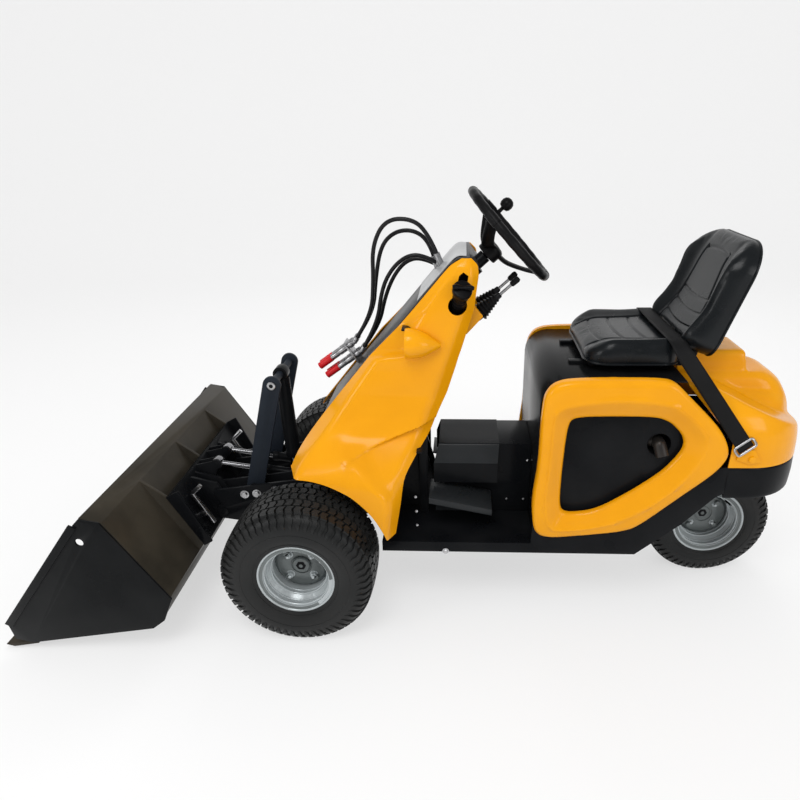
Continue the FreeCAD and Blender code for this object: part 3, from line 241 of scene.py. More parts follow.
def build_material(finish: Finish) -> bpy.types.Material:
    """Nodes of one finish: relief group, tone mix and the family's own extras.

    Args:
        finish: the Finish to build.
    Returns:
        The new material.
    """
    material = bpy.data.materials.new(finish.name)
    material.use_nodes = True
    tree = material.node_tree
    n, link = tree.nodes, tree.links.new
    shader = n["Principled BSDF"]
    coords = n.new("ShaderNodeTexCoord")
    relief = n.new("ShaderNodeGroup")
    relief.node_tree = relief_group()
    link(coords.outputs["Object"], relief.inputs["Vector"])
    for name, value in (("Grain", finish.grain), ("Rough", finish.rough), ("Spread", 2 * finish.spread),
                        ("Strength", finish.relief)):
        relief.inputs[name].default_value = value
    shader.inputs["Metallic"].default_value = finish.metal
    shader.inputs["Coat Weight"].default_value = finish.coat
    shader.inputs["Specular IOR Level"].default_value = finish.shine
    shader.inputs["Coat Roughness"].default_value = 0.08
    link(relief.outputs["Roughness"], shader.inputs["Roughness"])
    normal = relief.outputs["Normal"]
    if finish.tone:
        mix = n.new("ShaderNodeMix")
        mix.data_type = "RGBA"
        mix.inputs[6].default_value = (*finish.colour, 1)
        mix.inputs[7].default_value = (*finish.tone, 1)
        link(relief.outputs["Mask"], mix.inputs[0])
        link(mix.outputs[2], shader.inputs["Base Color"])
    else:
        shader.inputs["Base Color"].default_value = (*finish.colour, 1)
    if finish.surface is Surface.VINYL:
        cells = n.new("ShaderNodeTexVoronoi")
        cells.feature = "DISTANCE_TO_EDGE"
        cells.inputs["Scale"].default_value = finish.grain
        bump = n.new("ShaderNodeBump")
        bump.inputs["Strength"].default_value = 0.2
        bump.inputs["Distance"].default_value = 0.0003
        link(coords.outputs["Object"], cells.inputs["Vector"])
        link(cells.outputs["Distance"], bump.inputs["Height"])
        link(normal, bump.inputs["Normal"])
        normal = bump.outputs["Normal"]
    if finish.surface is Surface.GLASS:
        shader.inputs["Transmission Weight"].default_value = 0.35
        shader.inputs["IOR"].default_value = 1.5
    link(normal, shader.inputs["Normal"])
    return material


# ------------------------------------------------------------------ meshes
def new_object(name: str, mesh: bpy.types.Mesh, finish: Finish | Sequence, body: str,
               nodes: Sequence = ()) -> bpy.types.Object:
    """Links a mesh as a finished piece on a body.

    Args:
        name: the piece's name.
        mesh: its mesh, in row-frame metres.
        finish: its Finish, or several of them by face index.
        body: the CAD body that carries it.
        nodes: CAD nodes it stands for.
    Returns:
        The new object.
    """
    obj = bpy.data.objects.new(name, mesh)
    bpy.context.scene.collection.objects.link(obj)
    finishes = finish if isinstance(finish, (list, tuple)) else [finish]
    index = np.zeros(len(mesh.polygons), np.int32)
    if len(finishes) > 1:
        mesh.polygons.foreach_get("material_index", index)
    mesh.materials.clear()
    for one in finishes:
        mesh.materials.append(one.material())
    mesh.polygons.foreach_set("material_index", index)
    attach(obj, body)
    if nodes:
        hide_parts(*nodes)
    return obj


def mesh_from(name: str, verts: ArrayLike, faces: Sequence, smooth: bool = True,
              index: Sequence | None = None) -> bpy.types.Mesh:
    """A mesh from arrays.

    Args:
        name: the mesh's name.
        verts: (n, 3) metres.
        faces: sequences of vertex numbers.
        smooth: whether faces are shaded smooth.
        index: material number of each face, if there are several.
    Returns:
        The mesh.
    """
    mesh = bpy.data.meshes.new(name)
    mesh.from_pydata(np.asarray(verts).tolist(), [], [list(map(int, f)) for f in faces])
    mesh.polygons.foreach_set("use_smooth", [smooth] * len(mesh.polygons))
    if index is not None:
        mesh.polygons.foreach_set("material_index", list(map(int, index)))
    mesh.update()
    return mesh


def grid_faces(nu: int, nv: int, close_u: bool = False, close_v: bool = False) -> list:
    """Quads of a grid of nu by nv points numbered row by row.

    Args:
        nu: number of rows.
        nv: number of points in a row.
        close_u: whether the last row joins the first.
        close_v: whether the last column joins the first.
    Returns:
        The quads as lists of four point numbers.
    """
    i = np.arange(nu if close_u else nu - 1)
    j = np.arange(nv if close_v else nv - 1)
    a, b = np.meshgrid(i, j, indexing="ij")
    c, d = (a + 1) % nu, (b + 1) % nv
    quads = np.stack([a * nv + b, c * nv + b, c * nv + d, a * nv + d], -1).reshape(-1, 4)
    return quads.tolist()


def surface(name: str, points: np.ndarray, close_u: bool = False,
            close_v: bool = False) -> bpy.types.Mesh:
    """A mesh over a parametric grid of points, shape (nu, nv, 3), in table millimetres.

    Args:
        name: the mesh's name.
        points: the grid.
        close_u: whether the last row joins the first.
        close_v: whether the last column joins the first.
    Returns:
        The mesh.
    """
    nu, nv = points.shape[:2]
    mesh = mesh_from(name, place(points.reshape(-1, 3)), grid_faces(nu, nv, close_u, close_v))
    tidy(mesh)
    return mesh


def tidy(mesh: bpy.types.Mesh, merge: float = 1e-5) -> None:
    """Merges doubles and makes the normals agree.

    Args:
        mesh: the mesh to change.
        merge: distance in metres under which points are one.
    """
    work = bmesh.new()
    work.from_mesh(mesh)
    bmesh.ops.remove_doubles(work, verts=work.verts, dist=merge)
    bmesh.ops.recalc_face_normals(work, faces=work.faces)
    work.to_mesh(mesh)
    work.free()


def spline(points: ArrayLike, count: int, closed: bool = False) -> np.ndarray:
    """Catmull-Rom curve through points.

    Each span is the cubic with the neighbours' half difference as slope.

    Args:
        points: (n, k) array.
        count: samples over the whole curve.
        closed: whether the curve is a loop.
    Returns:
        (count, k) samples.
    """
    p = np.asarray(points, float)
    if closed:
        p = np.vstack([p[-1:], p, p[:2]])
    else:
        p = np.vstack([2 * p[0] - p[1], p, 2 * p[-1] - p[-2]])
    spans = len(p) - 3
    t = np.linspace(0, spans, count, endpoint=not closed)
    k = np.minimum(t.astype(int), spans - 1)
    u = (t - k)[:, None]
    a, b, c, d = p[k], p[k + 1], p[k + 2], p[k + 3]
    second, third = 2 * a - 5 * b + 4 * c - d, 3 * b - a - 3 * c + d
    return 0.5 * (2 * b + (c - a) * u + second * u ** 2 + third * u ** 3)


def apply_modifiers(obj: bpy.types.Object) -> None:
    """Bakes an object's modifiers into its mesh.

    Args:
        obj: the object to change.
    """
    graph = bpy.context.evaluated_depsgraph_get()
    graph.update()
    mesh = bpy.data.meshes.new_from_object(obj.evaluated_get(graph))
    obj.modifiers.clear()
    obj.data = mesh


def shade_by_angle(mesh: bpy.types.Mesh, degrees: float = 32.0) -> None:
    """Smooth shading with edges sharper than the angle kept crisp.

    Args:
        mesh: the mesh to change.
        degrees: the angle between two faces.
    """
    work = bmesh.new()
    work.from_mesh(mesh)
    limit = math.radians(degrees)
    for edge in work.edges:
        edge.smooth = not (len(edge.link_faces) == 2 and edge.calc_face_angle(0) > limit)
    for face in work.faces:
        face.smooth = True
    work.to_mesh(mesh)
    work.free()


def dress(node: str, finish: Finish, bevel: float) -> bpy.types.Object:
    """Shows a CAD node as a finished piece: flat faces rejoined, sharp edges rounded, procedural finish.

    Args:
        node: the CAD node.
        finish: its Finish.
        bevel: edge rounding in millimetres.
    Returns:
        The new object.
    """
    source = frame["nodes"][node]
    mesh = source.data.copy()
    work = bmesh.new()
    work.from_mesh(mesh)
    bmesh.ops.remove_doubles(work, verts=work.verts, dist=2e-6)
    bmesh.ops.dissolve_limit(work, angle_limit=math.radians(1.0), verts=work.verts, edges=work.edges)
    work.to_mesh(mesh)
    work.free()
    obj = new_object("dress_" + node, mesh, finish, source["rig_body"], (node,))
    rounding = obj.modifiers.new("round", "BEVEL")
    rounding.width = bevel / 1000
    rounding.segments = 2
    rounding.limit_method = "ANGLE"
    rounding.angle_limit = math.radians(35)
    rounding.harden_normals = False
    apply_modifiers(obj)
    shade_by_angle(obj.data)
    return obj


# ------------------------------------------------------------------ forms
def unit(v: ArrayLike) -> np.ndarray:
    """A vector of length one along v."""
    v = np.asarray(v, float)
    return v / np.linalg.norm(v)


def across(axis: ArrayLike) -> tuple:
    """Two unit vectors square to an axis and to each other.

    Args:
        axis: any vector along the axis.
    Returns:
        The two vectors.
    """
    axis = unit(axis)
    helper = np.array((0, 0, 1.0)) if abs(axis[2]) < 0.9 else np.array((1.0, 0, 0))
    a = unit(np.cross(helper, axis))
    return a, np.cross(axis, a)


class Forms:
    """Collects closed forms, in table millimetres, into one mesh."""

    def __init__(self) -> None:
        """Starts with no points, faces or material numbers."""
        self.verts, self.faces, self.index, self.count = [], [], [], 0

    def add(self, verts: ArrayLike, faces: Sequence, index: int = 0) -> None:
        """Adds raw points and faces with one material number.

        Args:
            verts: points, (..., 3).
            faces: sequences of point numbers, counted from these points.
            index: material number of the faces.
        """
        verts = np.asarray(verts, float).reshape(-1, 3)
        self.verts.append(verts)
        self.faces += [[i + self.count for i in face] for face in faces]
        self.index += [index] * len(faces)
        self.count += len(verts)

    def grid(self, points: np.ndarray, close_u: bool = False, close_v: bool = False,
             cap: bool = False, index: int = 0) -> None:
        """Adds a grid of points.

        Args:
            points: the grid, shape (nu, nv, 3).
            close_u: whether the last row joins the first.
            close_v: whether the last column joins the first.
            cap: whether the first and last rows are filled.
            index: material number.
        """
        nu, nv = points.shape[:2]
        faces = grid_faces(nu, nv, close_u, close_v)
        if cap:
            faces += [list(range(nv))[::-1], list(range((nu - 1) * nv, nu * nv))]
        self.add(points, faces, index)

    def turned(self, profile: ArrayLike, base: ArrayLike, axis: ArrayLike, steps: int = 32,
               index: int = 0, loop: bool = False) -> None:
        """Turns a profile about an axis: base + d axis + r (cos w a + sin w b), with a and b square to it.

        Args:
            profile: (distance d along the axis, radius r) pairs.
            base: point on the axis from which d counts.
            axis: direction of the axis.
            steps: points round a turn.
            index: material number.
            loop: whether the profile closes on itself; its ends are filled otherwise.
        """
        prof = np.asarray(profile, float)
        a, b = across(axis)
        w = np.linspace(0, 2 * math.pi, steps, endpoint=False)
        ring = np.cos(w)[:, None] * a + np.sin(w)[:, None] * b
        pts = np.asarray(base, float) + prof[:, :1, None] * unit(axis) + prof[:, 1:, None] * ring[None]
        self.grid(pts, close_u=loop, close_v=True, cap=not loop, index=index)

    def tube(self, path: ArrayLike, radius: ArrayLike, sides: int = 12, index: int = 0,
             loop: bool = False, flat: float = 1.0) -> None:
        """A round or flattened tube along a path, its section carried without twist.

        Args:
            path: points of the centre line.
            radius: one radius, or one for each point.
            sides: points round the section.
            index: material number.
            loop: whether the path closes on itself.
            flat: height of the section as a share of its width.
        """
        path = np.asarray(path, float)
        ahead = np.roll(path, -1, 0) - np.roll(path, 1, 0)
        if not loop:
            ahead[0], ahead[-1] = path[1] - path[0], path[-1] - path[-2]
        ahead /= np.linalg.norm(ahead, axis=1)[:, None]
        a = across(ahead[0])[0]
        w = np.linspace(0, 2 * math.pi, sides, endpoint=False)
        rings = []
        radii = np.broadcast_to(radius, len(path))
        for point, t, r in zip(path, ahead, radii):
            a = unit(a - t * a.dot(t))
            b = np.cross(t, a)
            rings.append(point + r * (np.cos(w)[:, None] * a + flat * np.sin(w)[:, None] * b))
        self.grid(np.array(rings), close_u=loop, close_v=True, cap=not loop, index=index)

    def prism(self, outline: Sequence, y0: float, y1: float, index: int = 0) -> None:
        """A plate with a side outline between two y stations.

        Args:
            outline: (x, z) corners.
            y0: y of one face.
            y1: y of the other.
            index: material number.
        """
        n = len(outline)
        verts = [(x, y, z) for y in (y0, y1) for x, z in outline]
        faces = [list(range(n)), list(range(n, 2 * n))[::-1]]
        faces += [[i, (i + 1) % n, n + (i + 1) % n, n + i] for i in range(n)]
        self.add(verts, faces, index)

    def hexagon(self, base: ArrayLike, axis: ArrayLike, size: float, height: float) -> None:
        """A hexagon nut or bolt head with a chamfered top, size being half its width over the corners."""
        self.turned([(0, size), (height * 0.8, size), (height, size * 0.86)], base, axis, 6)

    def mirrored(self) -> "Forms":
        """The forms on the other side of y = 0.

        Returns:
            The copy.
        """
        other = Forms()
        for verts in self.verts:
            flipped = verts.copy()
            flipped[:, 1] *= -1
            other.verts.append(flipped)
        other.faces = [face[::-1] for face in self.faces]
        other.index, other.count = list(self.index), self.count
        return other

    def mesh(self, name: str, angle: float = 35.0) -> bpy.types.Mesh:
        """The finished mesh with smooth faces and crisp edges over the angle.

        Args:
            name: the mesh's name.
            angle: degrees between two faces.
        Returns:
            The mesh.
        """
        mesh = mesh_from(name, place(np.vstack(self.verts)), self.faces, index=self.index)
        tidy(mesh)
        shade_by_angle(mesh, angle)
        return mesh


# ------------------------------------------------------------------ wheels
BLOCK_FACES = ([[0, 1, 4, 5], [1, 2, 3, 4]] + [[i, (i + 1) % 6, 6 + (i + 1) % 6, 6 + i] for i in range(6)]
               + [[11, 10, 7, 6], [10, 9, 8, 7]])


@dataclass(frozen=True)
class Wheel:
    """One turf tyre with its rim trim.

    Attributes:
        label: end of the node names.
        body: the body that turns.
        centre: axle centre.
        outer: tyre diameter.
        width: tyre width.
        face: y of the rim's outer flange, signed.
        disc: y of the disc's outer face, signed.
        rows: rows of tread blocks.
        tread: height of the blocks.
        bead: radius at which the tyre sits on the rim.
        pitch: distance from block to block round the tread.
        gap: distance between two rows.
        block: half length of a block round the tread.
        bend: how far a block's point stands before its sides.
        lip: radius of the rim's rolled lips.
        dish: radius within which the rim is its disc.
    """

    label: str
    body: str
    centre: tuple
    outer: float
    width: float
    face: float
    disc: float
    rows: int

    tread: float = 8.0
    bead: float = 113.0
    pitch: float = 25.5
    gap: float = 3.6
    block: float = 10.6
    bend: float = 5.5
    lip: float = 112.6
    dish: float = 80.5

    def node(self, part: str) -> str:
        """The CAD node of this wheel's tyre or rim."""
        return "rear_" + part if self.label == "rear" else "front_" + part + "_" + self.label

    def profile(self) -> np.ndarray:
        """Half of the carcass's outline from the crown to the bead.

        Returns:
            (y, radius) pairs.
        """
        w, crown = self.width, self.outer / 2 - self.tread
        drop = crown - self.bead
        pts = [(0, crown), (0.2 * w, crown - 1), (0.34 * w, crown - 4), (0.42 * w, crown - 0.11 * drop),
               (0.475 * w, crown - 0.27 * drop), (0.5 * w, crown - 0.48 * drop),
               (0.492 * w, crown - 0.72 * drop), (0.455 * w, self.bead + 9), (0.435 * w, self.bead)]
        return spline(pts, 40)

    def tyre(self) -> Forms:
        """Carcass, tread blocks, shoulder ribs and the thin rings on the sidewalls.

        Returns:
            The forms.
        """
        forms = Forms()
        half = self.profile()
        line = np.vstack([np.column_stack([-half[::-1, 0], half[::-1, 1]])[:-1], half])
        forms.turned(line, self.centre, (0, 1, 0), 144, loop=True)
        self.blocks(forms)
        self.ribs(forms, half)
        for side in (-1, 1):
            for r0, lift in ((self.bead + 13, 1.4), (self.bead + 0.42 * (self.outer / 2 - self.bead), 1.0)):
                y = np.interp(r0, half[::-1, 1], half[::-1, 0])
                w = np.linspace(0, 2 * math.pi, 120, endpoint=False)
                ring = np.column_stack([r0 * np.cos(w), np.full(len(w), side * y), r0 * np.sin(w)])
                forms.tube(ring + self.centre, lift, 6, loop=True)
        return forms

    def around(self, y: ArrayLike, radius: ArrayLike, s: ArrayLike) -> np.ndarray:
        """Points of the tyre by station and distance round it: the angle is s over the outer radius.

        Args:
            y: distance from the middle of the tyre.
            radius: distance from the axle.
            s: distance round the tread.
        Returns:
            The points, (..., 3).
        """
        a = np.asarray(s, float) / (self.outer / 2)
        return np.stack([self.centre[0] + radius * np.cos(a), self.centre[1] + np.broadcast_to(y, a.shape),
                         self.centre[2] + radius * np.sin(a)], -1)

    def blocks(self, forms: Forms) -> None:
        """Rows of chevron blocks, each row's point turned against its neighbour's.

        Args:
            forms: takes the blocks.
        """
        big = self.outer / 2
        count = int(round(2 * math.pi * big / self.pitch))
        step = 2 * math.pi * big / count
        reach = 0.4 * self.width
        row_w = 2 * reach / self.rows
        for row in range(self.rows):
            y0 = -reach + row * row_w + self.gap / 2
            y1 = y0 + row_w - self.gap
            bend = self.bend if row % 2 else -self.bend
            ys = np.array([y0, (y0 + y1) / 2, y1, y1, (y0 + y1) / 2, y0])
            low, high = -self.block, self.block
            ss = np.array([low, low + bend, low, high, high + bend, high])
            crown = big - 5.0 * (np.abs(ys) / (0.42 * self.width)) ** 2.4
            for k in range(count):
                s = ss + (k + 0.5 * (row % 2)) * step
                mid_y, mid_s = ys.mean(), s.mean()
                top = self.around(mid_y + (ys - mid_y) * 0.92, crown, mid_s + (s - mid_s) * 0.9)
                root = self.around(ys, crown - self.tread - 3, s)
                forms.add(np.vstack([top, root]), BLOCK_FACES)

    def ribs(self, forms: Forms, half: np.ndarray) -> None:
        """Broad kinked ribs, one for each block, that run from the tread's edge down each side.

        Args:
            forms: takes the ribs.
            half: half outline of the carcass.
        """
        big = self.outer / 2
        count = int(round(2 * math.pi * big / self.pitch))
        step = 2 * math.pi * big / count
        start = int(np.argmin(np.abs(half[:, 0] - 0.375 * self.width)))
        end = int(np.argmin(np.abs(half[:, 1] - (big - 0.42 * (big - self.bead)))))
        picks = np.linspace(start, end, 7).round().astype(int)
        slope = np.gradient(half, axis=0)
        out = np.column_stack([-slope[:, 1], slope[:, 0]])
        out /= np.linalg.norm(out, axis=1)[:, None] * np.sign(out[:, :1] + 1e-9)
        lift = np.array([5.5, 5.5, 5.0, 4.6, 4.0, 3.0, 0.5])
        slant = np.array([0, 1.5, 6.0, 7.5, 5.0, 6.0, 9.0])
        wide = np.array([9.4, 9.0, 8.6, 8.2, 7.6, 6.6, 4.5])
        for side in (-1, 1):
            for k in range(count):
                rows = []
                for i, h, lean, b in zip(picks, lift, slant, wide):
                    y, r = half[i]
                    oy, orad = out[i] * h
                    s = np.array([-b, 1.2 - b, b - 1.2, b]) + lean * side + k * step
                    ys = side * np.array([y - 1, y + oy, y + oy, y - 1])
                    rr = np.array([r - 1, r + orad, r + orad, r - 1])
                    rows.append(self.around(ys, rr, s))
                forms.grid(np.array(rows), close_v=True, cap=True)

    def ring(self, forms: Forms, radius: float, y: float, tube: float) -> None:
        """A rolled bead round the rim at a station, tube being the radius of its section."""
        w = np.linspace(0, 2 * math.pi, 96, endpoint=False)
        forms.tube(np.column_stack([self.centre[0] + radius * np.cos(w), np.full(len(w), y),
                                    self.centre[2] + radius * np.sin(w)]), tube, 10, loop=True)

    def trim(self) -> Forms:
        """Rolled rim lips and steps, nuts on their studs, hub boss with a black hexagon as painted shade for
        its bore, and valve.

        Returns:
            The forms.
        """
        forms = Forms()
        x, _, z = self.centre
        sign = 1 if self.face > self.centre[1] else -1
        self.ring(forms, self.lip, self.face - sign * 1.0, 4.2)
        self.ring(forms, self.lip, 2 * self.centre[1] - self.face + sign * 1.0, 4.2)
        for radius, deep, tube in ((96.8, 9, 3.4), (96.8, 27, 3.2), (84.8, 43, 3.0), (84.8, 58, 2.6)):
            self.ring(forms, radius, self.face - sign * deep, tube)
        for k in range(4):
            a = math.radians(45 + 90 * k)
            spot = np.array([x + 50 * math.cos(a), self.disc, z + 50 * math.sin(a)])
            forms.turned([(0, 13), (2.5, 13), (2.6, 9), (2.6, 8)], spot, (0, sign, 0), 20)
            forms.hexagon(spot, (0, sign, 0), 10.5, 12)
            forms.turned([(0, 5), (19, 5), (20, 4)], spot, (0, sign, 0), 12)
        forms.turned([(-6, 27), (5, 27), (8, 24), (9, 18), (8.5, 15)], (x, self.disc, z), (0, sign, 0), 32, 2)
        # painted shade: a black hexagon that stands for the shade in the centre bore
        forms.turned([(0, 15.5), (9.3, 15.5), (9.4, 14)], (x, self.disc, z), (0, sign, 0), 6, 1)
        forms.turned([(0, 6), (11, 6), (12, 4)], (x, self.disc, z), (0, sign, 0), 16, 2)
        a = math.radians(138)
        valve = np.array([x + 88 * math.cos(a), self.face - sign * 44, z + 88 * math.sin(a)])
        forms.turned([(0, 6.5), (12, 6), (16, 4.4), (28, 4.2), (29, 3.0)], valve, (-0.25, sign, -0.1), 12, 1)
        forms.turned([(28, 3.0), (36, 3.0), (37, 2.0)], valve, (-0.25, sign, -0.1), 12, 3)
        return forms

    def rim(self) -> bpy.types.Object:
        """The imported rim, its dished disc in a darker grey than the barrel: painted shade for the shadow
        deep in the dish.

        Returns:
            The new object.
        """
        obj = dress(self.node("rim"), SILVER, 1.0)
        mesh = obj.data
        mesh.materials.append(RIM_DISC_SHADE.material())
        centre = np.empty(len(mesh.polygons) * 3)
        mesh.polygons.foreach_get("center", centre)
        centre = centre.reshape(-1, 3) * 1000 - (SHIFT_X, 0, 0) - np.array(self.centre)
        # painted shade: faces within the dish take the darker grey
        shaded_disc = np.hypot(centre[:, 0], centre[:, 2]) < self.dish
        mesh.polygons.foreach_set("material_index", shaded_disc.astype(np.int32))
        return obj

    def build(self) -> list:
        """Builds the tyre, the rim and its trim.

        Returns:
            The new objects.
        """
        tyre = new_object("tyre_" + self.label, self.tyre().mesh("tyre_" + self.label, 40), TYRE, self.body,
                          (self.node("tyre"),))
        trim = new_object("rim_trim_" + self.label, self.trim().mesh("rim_trim_" + self.label),
                          [SILVER, BLACK, RIM_DISC_SHADE, STEEL], self.body)
        return [tyre, self.rim(), trim]


WHEELS = (
    Wheel("left", "front_wheel_left", (0, 363, FRONT_AXLE_Z), 457, 216, 455, 379, 5),
    Wheel("right", "front_wheel_right", (0, -363, FRONT_AXLE_Z), 457, 216, -455, -379, 5),
    Wheel("rear", "rear_wheel", (-1310, 0, REAR_AXLE[1]), 406, 165, 73, 9, 4),
)


@dataclass
class Wheels:
    """The three wheels."""

    def build(self) -> list:
        """The pieces of every wheel."""
        return [piece for wheel in WHEELS for piece in wheel.build()]


# ------------------------------------------------------------------ hoses
@dataclass(frozen=True)
class HoseRun:
    """One hydraulic hose: its stations are the spline's control points.

    Attributes:
        node: the CAD node it stands for.
        stations: the control points.
        length: its length in metres; not used.
    """

    node: str
    stations: tuple
    length: float


HOSES = (
    HoseRun("hose_outer", ((-401, -30, 1078), (-380, -29, 1128), (-335, -28, 1178), (-250, -32, 1178),
                           (-205, -40, 1100), (-203, -47, 990), (-190, -55, 880), (-139, -58, 805)), 0.594),
    HoseRun("hose_inner", ((-390, -76, 1063), (-375, -76, 1108), (-330, -77, 1140), (-272, -78, 1136),
                           (-226, -82, 1092), (-205, -86, 988), (-193, -88, 880), (-139, -88, 805)), 0.522),
    HoseRun("hose_low", ((-400, -52, 1046), (-356, -51, 1070), (-306, -51, 1066), (-258, -52, 1024),
                         (-226, -55, 960), (-208, -57, 850), (-160, -58, 774)), 0.431),
    HoseRun("hose_lowest", ((-398, -96, 1032), (-352, -97, 1054), (-302, -97, 1044), (-262, -95, 998),
                            (-232, -92, 930), (-210, -89, 838), (-161, -88, 773)), 0.408),
)
HOSE_D = 13.0


@dataclass
class Hoses:
    """Four free hoses from the cover's top to the couplers, each one NURBS line."""

    def build(self) -> list:
        """The hoses."""
        return [self.hose(run) for run in HOSES]

    def hose(self, run: HoseRun) -> bpy.types.Object:
        """One hose.

        Args:
            run: its HoseRun.
        Returns:
            The curve object.
        """
        data = bpy.data.curves.new(run.node, "CURVE")
        data.dimensions = "3D"
        data.resolution_u = 20
        data.bevel_depth = HOSE_D / 2000
        data.bevel_resolution = 5
        data.use_fill_caps = True
        line = data.splines.new("NURBS")
        line.points.add(len(run.stations) - 1)
        for point, station in zip(line.points, place(run.stations)):
            point.co = (*station, 1)
        line.order_u = 3
        line.use_endpoint_u = True
        data.materials.append(HOSE.material())
        obj = bpy.data.objects.new("free_" + run.node, data)
        bpy.context.scene.collection.objects.link(obj)
        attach(obj, "chassis")
        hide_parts(run.node)
        tuple(place(run.stations[0]))
        return obj


# ------------------------------------------------------------------ moulded panels
COWL_CUTS = (  # height, then (x, y) of the outer face from the front edge to the rear edge
    (296, ((38, 301), (10, 359), (-240, 359), (-258, 353), (-270, 332), (-282, 308))),
    (400, ((38, 292), (10, 357), (-262, 357), (-276, 345), (-289, 322), (-300, 300))),
    (440, ((38, 286), (10, 354), (-256, 353), (-273, 337), (-290, 314), (-305, 292))),
    (480, ((38, 280), (10, 350), (-212, 351), (-240, 333), (-290, 305), (-312, 284))),
    (510, ((30, 235), (0, 338), (-196, 339), (-228, 314), (-300, 284), (-331, 260))),
    (540, ((12, 190), (-16, 298), (-150, 322), (-200, 290), (-320, 262), (-353, 231))),
    (560, ((-3, 174), (-38, 264), (-120, 282), (-200, 262), (-334, 244), (-370, 208))),
    (585, ((-22, 161), (-64, 240), (-130, 246), (-200, 236), (-350, 224), (-388, 186))),
    (640, ((-66, 150), (-106, 218), (-180, 216), (-260, 212), (-372, 203), (-408, 170))),
    (700, ((-115, 146), (-149, 201), (-220, 199), (-300, 196), (-396, 189), (-436, 156))),
    (780, ((-182, 143), (-206, 187), (-270, 186), (-340, 185), (-422, 183), (-462, 150))),
    (812, ((-208, 143), (-230, 184), (-290, 184), (-350, 183), (-434, 181), (-471, 149))),
    (828, ((-224, 142), (-306, 155), (-345, 182), (-375, 182), (-440, 180), (-477, 148))),
    (900, ((-296, 142), (-318, 150), (-348, 178), (-385, 178), (-466, 176), (-499, 145))),
    (950, ((-340, 142), (-370, 172), (-395, 174), (-420, 174), (-482, 172), (-514, 142))),
    (1045, ((-421, 141), (-444, 162), (-468, 163), (-488, 163), (-506, 161), (-526, 140))),
    (1074, ((-447, 140), (-464, 154), (-477, 155), (-490, 155), (-503, 153), (-523, 139))),
    (1092, ((-478, 137), (-484, 140), (-488, 141), (-492, 141), (-497, 140), (-504, 137))),
)
ARCH_R = 268.0
CREASE_X, CREASE_Z, CREASE_RISE, CREASE_RUN = -133, 536, 0.335, 269
LAMP_Y, LAMP_Z = 190, 862


def rounded_section(points: ArrayLike, round_by: float = 17.0) -> np.ndarray:
    """A corner list as one smooth line: straights with a quadratic curve round each inner corner.

    Args:
        points: (n, 2) corners, ends included.
        round_by: how far a curve reaches from its corner.
    Returns:
        (n * 9 - 14, 2) samples.
    """
    p = np.asarray(points, float)
    line, left = [p[0]], p[0]
    for i in range(1, len(p) - 1):
        before, after = p[i] - p[i - 1], p[i + 1] - p[i]
        reach = min(round_by, 0.46 * np.linalg.norm(before), 0.46 * np.linalg.norm(after))
        q0, q1 = p[i] - unit(before) * reach, p[i] + unit(after) * reach
        line += [left + (q0 - left) * t for t in (0.25, 0.5, 0.75)]
        line += [(1 - t) ** 2 * q0 + 2 * t * (1 - t) * p[i] + t * t * q1 for t in np.linspace(0, 1, 6)]
        left = q1
    line += [left + (p[-1] - left) * t for t in (0.34, 0.67, 1.0)]
    return np.array(line)


def softened(rows: np.ndarray, reach: int) -> np.ndarray:
    """Rows of a table averaged with their neighbours under a Hann window, the ends kept.

    Args:
        rows: the table, (n, m).
        reach: how many rows either way count.
    Returns:
        A table of the same shape.
    """
    kernel = np.hanning(2 * reach + 3)[1:-1]
    kernel /= kernel.sum()
    padded = np.vstack([2 * rows[:1] - rows[reach:0:-1], rows, 2 * rows[-1:] - rows[-2:-reach - 2:-1]])
    return np.array([np.convolve(column, kernel, "valid") for column in padded.T]).T


def denser(rows: np.ndarray, gap: float) -> np.ndarray:
    """Sections with points put in between, evenly, until none are further apart than the gap.

    Args:
        rows: sections of shape (n, m, 2).
        gap: the widest distance left.
    Returns:
        Sections of shape (n, k, 2).
    """
    step = np.linalg.norm(np.diff(rows, axis=1), axis=2).max(axis=0)
    at = np.concatenate([[0], np.cumsum(np.maximum(1, np.ceil(step / gap)))])
    want = np.arange(int(at[-1]) + 1)
    return np.array([np.column_stack([np.interp(want, at, row[:, 0]), np.interp(want, at, row[:, 1])])
                     for row in rows])


def thick(obj: bpy.types.Object, depth: float, middle: ArrayLike) -> bpy.types.Object:
    """Gives an open skin its thickness and bakes it.

    Args:
        obj: the skin.
        depth: thickness in millimetres.
        middle: point towards which it thickens, in table millimetres.
    Returns:
        The same object.
    """
    mesh = obj.data
    out = sum((face.normal.dot(face.center - Vector(place(middle))) * face.area for face in mesh.polygons))
    if out < 0:
        mesh.flip_normals()
    wall = obj.modifiers.new("wall", "SOLIDIFY")
    wall.thickness = depth / 1000
    wall.offset = -1
    wall.use_even_offset = False
    apply_modifiers(obj)
    tidy(obj.data, 1e-6)
    return obj


def cut_with(obj: bpy.types.Object, forms: Forms) -> None:
    """Takes closed forms out of an object with an exact boolean.

    Args:
        obj: the object to cut.
        forms: what is taken out.
    """
    mesh = forms.mesh("cutter")
    tool = bpy.data.objects.new("cutter", mesh)
    bpy.context.scene.collection.objects.link(tool)
    cut = obj.modifiers.new("cut", "BOOLEAN")
    cut.operation, cut.solver, cut.object = "DIFFERENCE", "EXACT", tool
    cut.use_self = True
    apply_modifiers(obj)
    bpy.data.objects.remove(tool)


